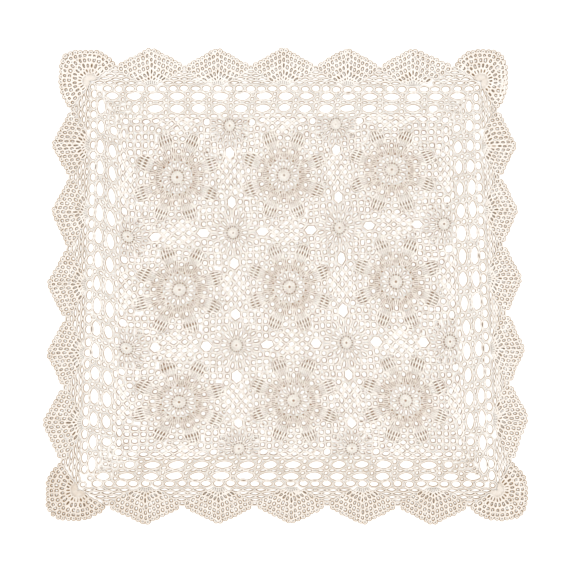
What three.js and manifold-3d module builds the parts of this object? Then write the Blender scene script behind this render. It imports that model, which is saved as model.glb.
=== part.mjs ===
// A square crochet tablecloth lying flat: nine medallions joined edge to edge, small wheels that fill
// the gaps between them, and an openwork border with a scalloped edge of fans.
// Millimetres, +Z up, the underside on Z = 0.

import * as THREE from "three";
import { mergeVertices } from "three/addons/utils/BufferGeometryUtils.js";
import Module from "manifold-3d";

const wasm = await Module();
wasm.setup();

// The plan the cloth is worked to: one border repeat drives the medallion pitch and the border lines
const REPEAT = 28;
const MEDALLION_PITCH = 5 * REPEAT;
const HALF_PITCH = MEDALLION_PITCH / 2;
const FIELD_EDGE = 1.5 * MEDALLION_PITCH;
const OVAL_LINE = 8.5 * REPEAT;
const PIECE_GAP = 0.4;

// Thickness of the openwork and height of the raised stitches
const NET_THICKNESS = 1.6;
const BORDER_THICKNESS = 1.8;
const HUB_HEIGHT = 2.2;
const CLUSTER_HEIGHT = 2.9;
const PETAL_HEIGHT = 2.3;
const RELIEF_ROOT = 0.8;

// Rosette of a medallion
const HUB_RADIUS = 8;
const HUB_SIDES = 8;
const CLUSTER_INNER_RADIUS = 21;
const CLUSTER_OUTER_RADIUS = 28;
const CLUSTER_COUNT = 16;
const PETAL_COUNT = 8;
const PETAL_PROFILE = [
  { radius: 33.5, halfWidth: 3.5 },
  { radius: 39, halfWidth: 7.5 },
  { radius: 53.5, halfWidth: 6.5 },
];

// Joining wheels, and the six-sided gaps they leave at the ends of each seam
const WHEEL_RADIUS = 28.5;
const WHEEL_SIDES = 20;
const WHEEL_HUB_RADIUS = 5.5;
const WHEEL_RING_INNER_RADIUS = 19;
const WHEEL_RING_OUTER_RADIUS = 22.5;
const SEAM_GAP_HALF_WIDTH = 5.2;
const SEAM_GAP_START = 23;
const SEAM_GAP_SLOPE = 4.5;
const WHEEL_ARC_STEPS = 4;

// Half wheels along the border, and the round gaps beside them
const SIDE_WHEEL_RADIUS = 25;
const SIDE_WHEEL_INSET = 8;
const SIDE_WHEEL_STEPS = 12;
const SIDE_SEAM_GAP_START = 19.5;
const ROUND_GAP_DEPTH = 8;
const ROUND_GAP_START = 35.5;
const ROUND_GAP_SLOPE = 2;

// Openings of the border
const OVAL_ROWS = [
  { name: "outer", offset: 0, reach: 8, length: 19, width: 10, sides: 8 },
  { name: "inner", offset: -15, reach: 7, length: 18.5, width: 9.5, sides: 8 },
];
const ARCH_ROW = { offset: 10.5, reach: 15, perFan: 6, length: 10.6, width: 7.6, sides: 6 };

// Scalloped edge: five fans a side between two corner fans
const FANS_PER_SIDE = 5;
const FAN_STEPS = 10;
const SCALLOP_POWER = 1.2;
const CORNER_VALLEY = 220;
const CORNER_FAN_STEPS = 28;
const CORNER_FAN_EASE = 3;

// Longest straight step along a joined edge, so that both sides of the join bend alike
const EDGE_STEP = 17.5;

// How each side really lies: fan peaks from its left or lower end, and valleys, outward of the oval line;
// fan pitch and shift along it
const SIDES = [
  { side: "top", peaks: [60, 58.5, 59.5, 60, 60], valley: 38.5, fanPitch: 85, fanShift: -3 },
  { side: "left", peaks: [62.5, 60, 62, 58.5, 60.5], valley: 39.5, fanPitch: 85.5, fanShift: -1.5 },
  { side: "bottom", peaks: [60, 59, 59, 59, 59.5], valley: 37.5, fanPitch: 87, fanShift: 0.5 },
  { side: "right", peaks: [57, 56, 56.5, 55, 56], valley: 35, fanPitch: 83.5, fanShift: 0 },
];

// Corner fans: where their stitches gather, measured from the corner of the oval line, how far they reach
// sideways and endways, how square they are, and the two sides they stand between, taken clockwise
const CORNER_FANS = [
  { right: -1, up: 1, x: -14, y: 18.5, wide: 39, tall: 39, squareness: 5, from: "left", to: "top" },
  { right: 1, up: 1, x: 15, y: 19, wide: 33, tall: 40, squareness: 4, from: "top", to: "right" },
  { right: 1, up: -1, x: 16, y: -15.5, wide: 38.5, tall: 38.5, squareness: 4.5, from: "right", to: "bottom" },
  { right: -1, up: -1, x: -16.5, y: -17, wide: 41, tall: 38.5, squareness: 4.5, from: "bottom", to: "left" },
];

// How the cloth really lies: medallion centres, row by row
const MEDALLION_ROWS = [
  { row: "bottom", left: [-133, -144.5], middle: [10, -142.5], right: [150, -142.5] },
  { row: "centre", left: [-132.5, -4], middle: [5, -0.5], right: [138, 6] },
  { row: "top", left: [-135.5, 136.5], middle: [-2, 139], right: [133, 146] },
];

// How the oval line really lies: its corners and its points abreast of the medallions
const OVAL_CORNERS = {
  lowLeft: [-242.5, -237],
  lowRight: [248, -238],
  topLeft: [-230, 238],
  topRight: [229, 237.5],
};
const OVAL_LINES = {
  bottom: { from: "lowLeft", low: [-140, -237], mid: [6.5, -237], high: [149.5, -237.5], to: "lowRight" },
  top: { from: "topLeft", low: [-135.5, 238], mid: [0.5, 238], high: [132.5, 237], to: "topRight" },
  left: { from: "lowLeft", low: [-239.5, -136.5], mid: [-235.5, 4.5], high: [-231.5, 149.5], to: "topLeft" },
  right: { from: "lowRight", low: [244.5, -136], mid: [238, 10], high: [232, 151], to: "topRight" },
};
const LAID_CENTRE = { x: -0.25, y: 0.41 };

const COTTON = { color: 0xeae2d6, roughness: 0.92, metalness: 0 };

// Plan lines that carry the laid points
const PLAN_LINES = [
  -OVAL_LINE,
  -FIELD_EDGE,
  -MEDALLION_PITCH,
  0,
  MEDALLION_PITCH,
  FIELD_EDGE,
  OVAL_LINE,
];
const LAST_LINE = PLAN_LINES.length - 1;
const BORDER_SHARE = (OVAL_LINE - FIELD_EDGE) / (OVAL_LINE - MEDALLION_PITCH);
const ROW_DRIFT = (FIELD_EDGE - MEDALLION_PITCH) / (2 * MEDALLION_PITCH) / 2;

function mix(a, b, share) {
  return [a[0] + (b[0] - a[0]) * share, a[1] + (b[1] - a[1]) * share];
}

// A border line's five points, with the field's two edges filled in between
function borderPoints(line) {
  const { low, mid, high } = line;
  const start = OVAL_CORNERS[line.from];
  const end = OVAL_CORNERS[line.to];
  return [start, mix(start, low, BORDER_SHARE), low, mid, high, mix(end, high, BORDER_SHARE), end];
}

// Laid points on every crossing of the plan lines, indexed [line along Y][line along X]
function laidLattice() {
  const lattice = PLAN_LINES.map(() => PLAN_LINES.map(() => [0, 0]));
  lattice[0] = borderPoints(OVAL_LINES.bottom);
  lattice[LAST_LINE] = borderPoints(OVAL_LINES.top);
  const left = borderPoints(OVAL_LINES.left);
  const right = borderPoints(OVAL_LINES.right);
  for (let j = 0; j <= LAST_LINE; j += 1) {
    lattice[j][0] = left[j];
    lattice[j][LAST_LINE] = right[j];
  }
  MEDALLION_ROWS.forEach((row, j) => {
    [row.left, row.middle, row.right].forEach((centre, i) => {
      lattice[j + 2][i + 2] = centre;
    });
  });
  for (const [edge, near, far, rim] of [[1, 2, 4, 0], [5, 4, 2, LAST_LINE]]) {
    for (const k of [2, 3, 4]) {
      const [nearX, nearY] = lattice[near][k];
      const rowShift = (nearX - lattice[far][k][0]) * ROW_DRIFT;
      lattice[edge][k] = [nearX + rowShift, mix(lattice[rim][k], [nearX, nearY], BORDER_SHARE)[1]];
      const [sideX, sideY] = lattice[k][near];
      const columnShift = (sideY - lattice[k][far][1]) * ROW_DRIFT;
      lattice[k][edge] = [mix(lattice[k][rim], [sideX, sideY], BORDER_SHARE)[0], sideY + columnShift];
    }
    for (const [other, otherNear, otherRim] of [[1, 2, 0], [5, 4, LAST_LINE]]) {
      lattice[edge][other] = mix(lattice[rim][otherRim], lattice[near][otherNear], BORDER_SHARE);
    }
  }
  return lattice;
}

// Slope weights of the smooth curve through the plan lines, one row per line
function slopeWeights() {
  return PLAN_LINES.map((line, i) => {
    const row = PLAN_LINES.map(() => 0);
    if (i === 0 || i === LAST_LINE) {
      const first = i === 0 ? 0 : LAST_LINE - 1;
      const span = PLAN_LINES[first + 1] - PLAN_LINES[first];
      row[first] = -1 / span;
      row[first + 1] = 1 / span;
      return row;
    }
    const before = line - PLAN_LINES[i - 1];
    const after = PLAN_LINES[i + 1] - line;
    row[i - 1] = -after / (before * (before + after));
    row[i] = (after - before) / (before * after);
    row[i + 1] = before / (after * (before + after));
    return row;
  });
}

const LATTICE = laidLattice();
const SLOPES = slopeWeights();

// Share that each plan line has in a point at t, by a cubic between the two lines beside it
function lineWeights(t) {
  let k = 0;
  while (k < LAST_LINE - 1 && t > PLAN_LINES[k + 1]) {
    k += 1;
  }
  const span = PLAN_LINES[k + 1] - PLAN_LINES[k];
  const s = (t - PLAN_LINES[k]) / span;
  const leave = span * s * (1 - s) * (1 - s);
  const arrive = span * s * s * (s - 1);
  const weights = PLAN_LINES.map((_, i) => leave * SLOPES[k][i] + arrive * SLOPES[k + 1][i]);
  weights[k] += 1 - s * s * (3 - 2 * s);
  weights[k + 1] += s * s * (3 - 2 * s);
  return weights;
}

// Where a point of the plan really lies; beyond the oval line distances are kept as they are
function laid([u, v]) {
  const uHeld = THREE.MathUtils.clamp(u, -OVAL_LINE, OVAL_LINE);
  const vHeld = THREE.MathUtils.clamp(v, -OVAL_LINE, OVAL_LINE);
  const across = lineWeights(uHeld);
  const along = lineWeights(vHeld);
  const place = new THREE.Vector2(u - uHeld - LAID_CENTRE.x, v - vHeld - LAID_CENTRE.y);
  along.forEach((wv, j) => {
    across.forEach((wu, i) => {
      place.x += wv * wu * LATTICE[j][i][0];
      place.y += wv * wu * LATTICE[j][i][1];
    });
  });
  return place;
}

// Solids

function slab(points, bottom, top, holes = []) {
  const shape = new THREE.Shape(points);
  shape.holes = holes.map((hole) => new THREE.Path(hole));
  const geometry = new THREE.ExtrudeGeometry(shape, { depth: top - bottom, bevelEnabled: false });
  geometry.translate(0, 0, bottom);
  geometry.deleteAttribute("normal");
  geometry.deleteAttribute("uv");
  return mergeVertices(geometry);
}

function toSolid(geometry) {
  const vertProperties = Float32Array.from(geometry.attributes.position.array);
  const triVerts = Uint32Array.from(geometry.index.array);
  return new wasm.Manifold(new wasm.Mesh({ numProp: 3, vertProperties, triVerts }));
}

function fuse(geometries) {
  const solid = geometries.map(toSolid).reduce((whole, piece) => whole.add(piece));
  const mesh = solid.getMesh();
  const geometry = new THREE.BufferGeometry();
  geometry.setAttribute("position", new THREE.BufferAttribute(mesh.vertProperties, 3));
  geometry.setIndex(new THREE.BufferAttribute(mesh.triVerts, 1));
  return geometry;
}

function named(name, geometry) {
  const mesh = new THREE.Mesh(geometry, new THREE.MeshStandardMaterial(COTTON));
  mesh.name = name;
  return mesh;
}

// Plan shapes

function polar(centre, radius, angle) {
  return [centre[0] + radius * Math.cos(angle), centre[1] + radius * Math.sin(angle)];
}

function ringPoints(centre, radius, sides, turn = 0) {
  const points = [];
  for (let k = 0; k < sides; k += 1) {
    points.push(polar(centre, radius, turn + (2 * Math.PI * k) / sides));
  }
  return points;
}

function arcPoints(centre, radius, from, to, steps) {
  const points = [];
  for (let k = 0; k <= steps; k += 1) {
    points.push(polar(centre, radius, from + ((to - from) * k) / steps));
  }
  return points;
}

function turned([x, y], quarter) {
  const turns = [[x, y], [-y, x], [-x, -y], [y, -x]];
  return turns[quarter];
}

function shifted(points, [x, y]) {
  return points.map((p) => [p[0] + x, p[1] + y]);
}

// Outline with its long edges divided into equal steps
function stepped(points) {
  return points.flatMap((p, k) => {
    const next = points[(k + 1) % points.length];
    const count = Math.ceil(Math.hypot(next[0] - p[0], next[1] - p[1]) / EDGE_STEP);
    return Array.from({ length: Math.max(count, 1) }, (_, step) => mix(p, next, step / count));
  });
}

// Medallions

const MEDALLION_HALF = HALF_PITCH - PIECE_GAP / 2;

// Corner between two neighbours: two seam ends and the hollow that takes a joining wheel
function wheelCorner() {
  const centre = [HALF_PITCH, HALF_PITCH];
  const radius = WHEEL_RADIUS + PIECE_GAP;
  const inner = MEDALLION_HALF - SEAM_GAP_HALF_WIDTH;
  const slip = Math.asin((HALF_PITCH - inner) / radius);
  const slope = SEAM_GAP_START + SEAM_GAP_SLOPE;
  return [
    [MEDALLION_HALF, SEAM_GAP_START],
    [inner, slope],
    ...arcPoints(centre, radius, -Math.PI / 2 - slip, -Math.PI + slip, WHEEL_ARC_STEPS),
    [slope, inner],
    [SEAM_GAP_START, MEDALLION_HALF],
  ];
}

// Corner between a neighbour and the border: one seam end, a half wheel's hollow and a round gap
function sideWheelCorner() {
  const centre = [HALF_PITCH, HALF_PITCH - SIDE_WHEEL_INSET];
  const radius = SIDE_WHEEL_RADIUS + PIECE_GAP;
  const inner = MEDALLION_HALF - SEAM_GAP_HALF_WIDTH;
  const floor = MEDALLION_HALF - ROUND_GAP_DEPTH;
  const slip = Math.asin((HALF_PITCH - inner) / radius);
  const drop = Math.asin((centre[1] - floor) / radius);
  return [
    [MEDALLION_HALF, SIDE_SEAM_GAP_START],
    [inner, SIDE_SEAM_GAP_START + SEAM_GAP_SLOPE],
    ...arcPoints(centre, radius, -Math.PI / 2 - slip, -Math.PI + drop, WHEEL_ARC_STEPS),
    [ROUND_GAP_START + ROUND_GAP_SLOPE, floor],
    [ROUND_GAP_START, MEDALLION_HALF],
  ];
}

function mirroredCorner(points) {
  return points.map(([x, y]) => [y, x]).reverse();
}

function cornerPoints(joinedFirst, joinedSecond) {
  if (joinedFirst && joinedSecond) {
    return wheelCorner();
  }
  if (joinedFirst) {
    return sideWheelCorner();
  }
  return joinedSecond ? mirroredCorner(sideWheelCorner()) : [[MEDALLION_HALF, MEDALLION_HALF]];
}

// Outline of the medallion in a column and row of -1, 0 or 1, corner by corner from the right side up
function medallionOutline(column, row) {
  const joined = [column < 1, row < 1, column > -1, row > -1];
  const points = [];
  for (let quarter = 0; quarter < 4; quarter += 1) {
    const corner = cornerPoints(joined[quarter], joined[(quarter + 1) % 4]);
    points.push(...corner.map((p) => turned(p, quarter)));
  }
  return points;
}

function petalPoints(angle) {
  const side = (sign) => PETAL_PROFILE.map(({ radius, halfWidth }) => {
    const reach = Math.hypot(radius, halfWidth);
    return polar([0, 0], reach, angle + sign * Math.atan2(halfWidth, radius));
  });
  return [...side(-1), ...side(1).reverse()];
}

function medallion(column, row) {
  const centre = [column * MEDALLION_PITCH, row * MEDALLION_PITCH];
  const lay = (points) => shifted(points, centre).map(laid);
  const hub = ringPoints([0, 0], HUB_RADIUS, HUB_SIDES);
  const clusterRim = ringPoints([0, 0], CLUSTER_OUTER_RADIUS, CLUSTER_COUNT);
  const clusterHollow = ringPoints([0, 0], CLUSTER_INNER_RADIUS, CLUSTER_COUNT);
  const solids = [
    slab(lay(stepped(medallionOutline(column, row))), 0, NET_THICKNESS),
    slab(lay(hub), RELIEF_ROOT, HUB_HEIGHT),
    slab(lay(clusterRim), RELIEF_ROOT, CLUSTER_HEIGHT, [lay(clusterHollow)]),
  ];
  for (let k = 0; k < PETAL_COUNT; k += 1) {
    const angle = ((k + 0.5) * 2 * Math.PI) / PETAL_COUNT;
    solids.push(slab(lay(petalPoints(angle)), RELIEF_ROOT, PETAL_HEIGHT));
  }
  return fuse(solids);
}

// Wheels

function wheel(column, row) {
  const centre = [column * HALF_PITCH, row * HALF_PITCH];
  const lay = (radius) => ringPoints(centre, radius, WHEEL_SIDES).map(laid);
  return fuse([
    slab(lay(WHEEL_RADIUS), 0, NET_THICKNESS),
    slab(lay(WHEEL_HUB_RADIUS), RELIEF_ROOT, HUB_HEIGHT),
    slab(lay(WHEEL_RING_OUTER_RADIUS), RELIEF_ROOT, HUB_HEIGHT, [lay(WHEEL_RING_INNER_RADIUS)]),
  ]);
}

// Half wheel on the top side; a quarter turn carries it to another side
function sideWheel(quarter, place) {
  const centre = [place * HALF_PITCH, FIELD_EDGE - SIDE_WHEEL_INSET];
  const rise = Math.asin((SIDE_WHEEL_INSET - PIECE_GAP / 2) / SIDE_WHEEL_RADIUS);
  const lay = (points) => points.map((p) => laid(turned(p, quarter)));
  const rim = arcPoints(centre, SIDE_WHEEL_RADIUS, -Math.PI - rise, rise, SIDE_WHEEL_STEPS);
  const hub = ringPoints(centre, WHEEL_HUB_RADIUS, HUB_SIDES);
  return fuse([slab(lay(rim), 0, NET_THICKNESS), slab(lay(hub), RELIEF_ROOT, HUB_HEIGHT)]);
}

// Border

// Point at s along a side, to the right or upward, and d outward of the oval line
function onSide(side, s, d) {
  const out = OVAL_LINE + d;
  const places = { top: [s, out], bottom: [s, -out], left: [-out, s], right: [out, s] };
  return places[side];
}

// Scalloped edge of a side, valley to valley, as distances along it and outward
function scallopPoints({ peaks, valley, fanPitch, fanShift }) {
  const middle = (FANS_PER_SIDE - 1) / 2;
  const points = [[-CORNER_VALLEY, valley]];
  for (let fan = 0; fan < FANS_PER_SIDE; fan += 1) {
    const top = (fan - middle) * fanPitch + fanShift;
    const start = points[points.length - 1][0];
    const last = fan === FANS_PER_SIDE - 1;
    const end = last ? CORNER_VALLEY : top + fanPitch / 2;
    for (let k = 1; k <= FAN_STEPS; k += 1) {
      const t = (2 * k) / FAN_STEPS - 1;
      const s = top + (t < 0 ? t * (top - start) : t * (end - top));
      points.push([s, valley + (peaks[fan] - valley) * (1 - Math.abs(t) ** SCALLOP_POWER)]);
    }
  }
  return points;
}

function openingPoints({ length, width, sides }, s, d) {
  const points = [];
  for (let k = 0; k < sides; k += 1) {
    const angle = (2 * Math.PI * k) / sides;
    points.push([s + (length / 2) * Math.cos(angle), d + (width / 2) * Math.sin(angle)]);
  }
  return points;
}

function sideOpenings({ fanPitch, fanShift }) {
  const openings = [];
  for (const row of OVAL_ROWS) {
    for (let k = -row.reach; k <= row.reach; k += 1) {
      openings.push(openingPoints(row, k * REPEAT, row.offset));
    }
  }
  const archPitch = fanPitch / ARCH_ROW.perFan;
  for (let k = -ARCH_ROW.reach; k <= ARCH_ROW.reach; k += 1) {
    openings.push(openingPoints(ARCH_ROW, k * archPitch + fanShift, ARCH_ROW.offset));
  }
  return openings;
}

// One side of the border, mitred to its neighbours from the field's corner to the corner fans
function borderSide(plan) {
  const lay = ([s, d]) => laid(onSide(plan.side, s, d));
  const inner = FIELD_EDGE - OVAL_LINE + PIECE_GAP / 2;
  const innerEnd = FIELD_EDGE - PIECE_GAP / 2;
  const apex = OVAL_LINE - PIECE_GAP;
  const outline = scallopPoints(plan);
  outline[0][0] += PIECE_GAP;
  outline[outline.length - 1][0] -= PIECE_GAP;
  outline.push([apex, 0], [innerEnd, inner], [-innerEnd, inner], [-apex, 0]);
  const holes = sideOpenings(plan).map((hole) => hole.map(lay));
  return slab(stepped(outline).map(lay), 0, BORDER_THICKNESS, holes);
}

function sideNamed(name) {
  return SIDES.find(({ side }) => side === name);
}

// Last scallop valley of a side before the given corner sign
function cornerValley(name, sign) {
  const plan = sideNamed(name);
  return laid(onSide(name, sign * CORNER_VALLEY, plan.valley));
}

// Reach of a corner fan in a direction given by its shares outward along the two axes: a rounded square
// between the axes, drawn to the last valley of a side past each of them
function cornerReach({ wide, tall, squareness }, across, upward, sideValley, endValley) {
  if (upward < 0) {
    const share = (upward / sideValley.upward) ** CORNER_FAN_EASE;
    return THREE.MathUtils.lerp(wide, sideValley.reach, share);
  }
  if (across < 0) {
    const share = (across / endValley.across) ** CORNER_FAN_EASE;
    return THREE.MathUtils.lerp(tall, endValley.reach, share);
  }
  return ((across / wide) ** squareness + (upward / tall) ** squareness) ** (-1 / squareness);
}

// Corner fan: a blunt lobe about the point where its stitches gather, between the last valleys of two sides
function cornerFan(fan) {
  const { right, up, x, y } = fan;
  const signAlong = { top: right, bottom: right, left: up, right: up };
  const apex = laid([right * OVAL_LINE, up * OVAL_LINE]);
  const gather = apex.clone().add(new THREE.Vector2(x, y));
  const valleys = [fan.from, fan.to].map((name) => {
    const away = cornerValley(name, signAlong[name]).sub(gather);
    const reach = away.length();
    const across = (right * away.x) / reach;
    const upward = (up * away.y) / reach;
    return { name, reach, across, upward, angle: away.angle() };
  });
  const sideValley = valleys.find(({ name }) => name === "left" || name === "right");
  const endValley = valleys.find(({ name }) => name === "top" || name === "bottom");
  const startAngle = valleys[0].angle;
  const sweep = -THREE.MathUtils.euclideanModulo(startAngle - valleys[1].angle, 2 * Math.PI);
  const points = [apex];
  for (let k = 0; k <= CORNER_FAN_STEPS; k += 1) {
    const angle = startAngle + (sweep * k) / CORNER_FAN_STEPS;
    const heading = new THREE.Vector2(Math.cos(angle), Math.sin(angle));
    const reach = cornerReach(fan, right * heading.x, up * heading.y, sideValley, endValley);
    points.push(heading.multiplyScalar(reach).add(gather));
  }
  return slab(points, 0, BORDER_THICKNESS);
}

// The whole cloth

function tablecloth() {
  const cloth = new THREE.Group();
  const places = [-1, 0, 1];
  for (const row of places) {
    for (const column of places) {
      cloth.add(named(`medallion_${row + 2}_${column + 2}`, medallion(column, row)));
    }
  }
  for (const row of [-1, 1]) {
    for (const column of [-1, 1]) {
      cloth.add(named(`wheel_${(row + 3) / 2}_${(column + 3) / 2}`, wheel(column, row)));
    }
  }
  SIDES.forEach((plan, quarter) => {
    for (const place of [-1, 1]) {
      cloth.add(named(`side_wheel_${plan.side}_${(place + 3) / 2}`, sideWheel(quarter, place)));
    }
    cloth.add(named(`border_${plan.side}`, borderSide(plan)));
  });
  for (const fan of CORNER_FANS) {
    const corner = `${fan.up > 0 ? "top" : "bottom"}_${fan.right > 0 ? "right" : "left"}`;
    cloth.add(named(`corner_fan_${corner}`, cornerFan(fan)));
  }
  return cloth;
}

export default tablecloth();
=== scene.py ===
"""Crochet tablecloth laid flat: nine medallions joined by wheels inside a scalloped openwork border.

Sizes are millimetres on an even plan. The plan is laid as unevenly as the cloth lies, and every cord is
a tube carried along its laid path, so each gap of the openwork has a cord round it.
"""

import logging
from collections.abc import Sequence
from dataclasses import dataclass, replace
from enum import Enum
from typing import NamedTuple

import bpy
import numpy as np
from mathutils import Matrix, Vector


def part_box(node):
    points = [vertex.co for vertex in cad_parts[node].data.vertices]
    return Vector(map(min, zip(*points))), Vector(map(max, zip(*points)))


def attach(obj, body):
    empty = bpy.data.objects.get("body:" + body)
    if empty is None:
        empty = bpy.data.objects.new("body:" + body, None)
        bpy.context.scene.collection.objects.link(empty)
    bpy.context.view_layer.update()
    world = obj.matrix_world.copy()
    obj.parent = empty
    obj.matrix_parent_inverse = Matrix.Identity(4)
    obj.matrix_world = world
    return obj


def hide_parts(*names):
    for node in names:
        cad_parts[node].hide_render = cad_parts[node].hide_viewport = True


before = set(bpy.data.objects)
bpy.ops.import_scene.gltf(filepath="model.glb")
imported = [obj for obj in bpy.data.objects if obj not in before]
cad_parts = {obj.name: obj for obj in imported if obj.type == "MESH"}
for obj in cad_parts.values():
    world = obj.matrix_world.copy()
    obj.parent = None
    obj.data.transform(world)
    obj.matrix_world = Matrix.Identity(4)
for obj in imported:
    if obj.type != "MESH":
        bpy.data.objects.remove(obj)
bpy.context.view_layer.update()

LOG = logging.getLogger("tablecloth")
MM = 0.001
TURN = 2 * np.pi

# The even plan: one border repeat drives the medallion pitch and the border lines
REPEAT = 28.0
PITCH = 5 * REPEAT
HALF_PITCH = PITCH / 2
FIELD_EDGE = 1.5 * PITCH
OVAL_LINE = 8.5 * REPEAT
CORNER_VALLEY = 220.0
SIDE_WHEEL_LINE = FIELD_EDGE - 8.0
SIDE_WHEEL_SCALE = 0.88

Array = np.ndarray
Socket = bpy.types.NodeSocket


class LinePoints(NamedTuple):
    """Laid points of one side of the oval line: its ends and its points abreast of the medallions."""

    start: tuple[float, float]
    low: tuple[float, float]
    mid: tuple[float, float]
    high: tuple[float, float]
    end: tuple[float, float]


class MedallionRow(NamedTuple):
    """Laid medallion centres of one row."""

    left: tuple[float, float]
    middle: tuple[float, float]
    right: tuple[float, float]


# How the cloth really lies
BOTTOM_LINE = LinePoints((-242.5, -237), (-140, -237), (6.5, -237), (149.5, -237.5), (248, -238))
TOP_LINE = LinePoints((-230, 238), (-135.5, 238), (0.5, 238), (132.5, 237), (229, 237.5))
LEFT_LINE = LinePoints((-242.5, -237), (-239.5, -136.5), (-235.5, 4.5), (-231.5, 149.5), (-230, 238))
RIGHT_LINE = LinePoints((248, -238), (244.5, -136), (238, 10), (232, 151), (229, 237.5))
MEDALLION_ROWS = (
    MedallionRow((-133, -144.5), (10, -142.5), (150, -142.5)),
    MedallionRow((-132.5, -4), (5, -0.5), (138, 6)),
    MedallionRow((-135.5, 136.5), (-2, 139), (133, 146)),
)
LAID_CENTRE = np.array([-0.25, 0.41])

# How far the rosette of each medallion is turned, in degrees, row by row from the bottom
MEDALLION_TURNS = ((-6, -2, 0), (-6, -2.5, -3), (-4, -3, -1.5))


def polar(radius: float | Array, angle: float | Array) -> Array:
    """Point at a radius and an angle about the origin."""
    return np.stack(np.broadcast_arrays(radius * np.cos(angle), radius * np.sin(angle)), -1)


def facing(points: Array, angle: float) -> Array:
    """Points given as (outward, aside) put in the direction of an angle."""
    out, side = polar(1.0, angle), polar(1.0, angle + TURN / 4)
    return points[..., :1] * out + points[..., 1:] * side


def spread(count: int, pitch: float) -> Array:
    """Places of a number of stitches at a pitch, centred on zero."""
    return (np.arange(count) - (count - 1) / 2) * pitch


def loop_outline(count: int, squareness: float) -> Array:
    """Outline of a loop of unit half sizes.

    Each point is the cosine and sine of its angle, raised to the power 2 over the squareness with the
    sign kept: 2 gives an ellipse, less a pointed lens and more a rounded square.

    Args:
        count: Number of points round the loop.
        squareness: Fullness of the loop's corners.

    Returns:
        The points, count by 2.
    """
    angle = np.arange(count) * TURN / count
    turn = np.stack([np.cos(angle), np.sin(angle)], -1)
    return np.sign(turn) * np.abs(turn) ** (2 / squareness)


def hexagon_outline(side_points: int, flat: float) -> Array:
    """Six-sided outline of unit half sizes with points at both ends.

    Args:
        side_points: Points on each side.
        flat: Half length of the two flat sides.

    Returns:
        The points, six times the side points by 2.
    """
    corners = np.array([(1, 0), (flat, 1), (-flat, 1), (-1, 0), (-flat, -1), (flat, -1)], float)
    share = np.arange(side_points)[:, None] / side_points
    return np.concatenate([a + (b - a) * share for a, b in zip(corners, np.roll(corners, -1, 0))])


def bundle(out: Sequence[float], swell: Sequence[float], count: int, pitch: float) -> Array:
    """Paths of stitches side by side.

    A stitch's place aside is its place in the row, at the pitch, times the swell at each point outward.

    Args:
        out: Distances outward, N.
        swell: Share of the pitch at each distance, N.
        count: Number of stitches.
        pitch: Distance between stitches.

    Returns:
        The paths as (outward, aside), count by N by 2.
    """
    aside = spread(count, pitch)[:, None] * np.array(swell)
    return np.stack([np.broadcast_to(out, aside.shape), aside], -1)


CELL_OUTLINE = loop_outline(10, 2.3)
PICOT_OUTLINE = loop_outline(8, 2.0)
HEXAGON_OUTLINE = hexagon_outline(4, 0.42)


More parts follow.
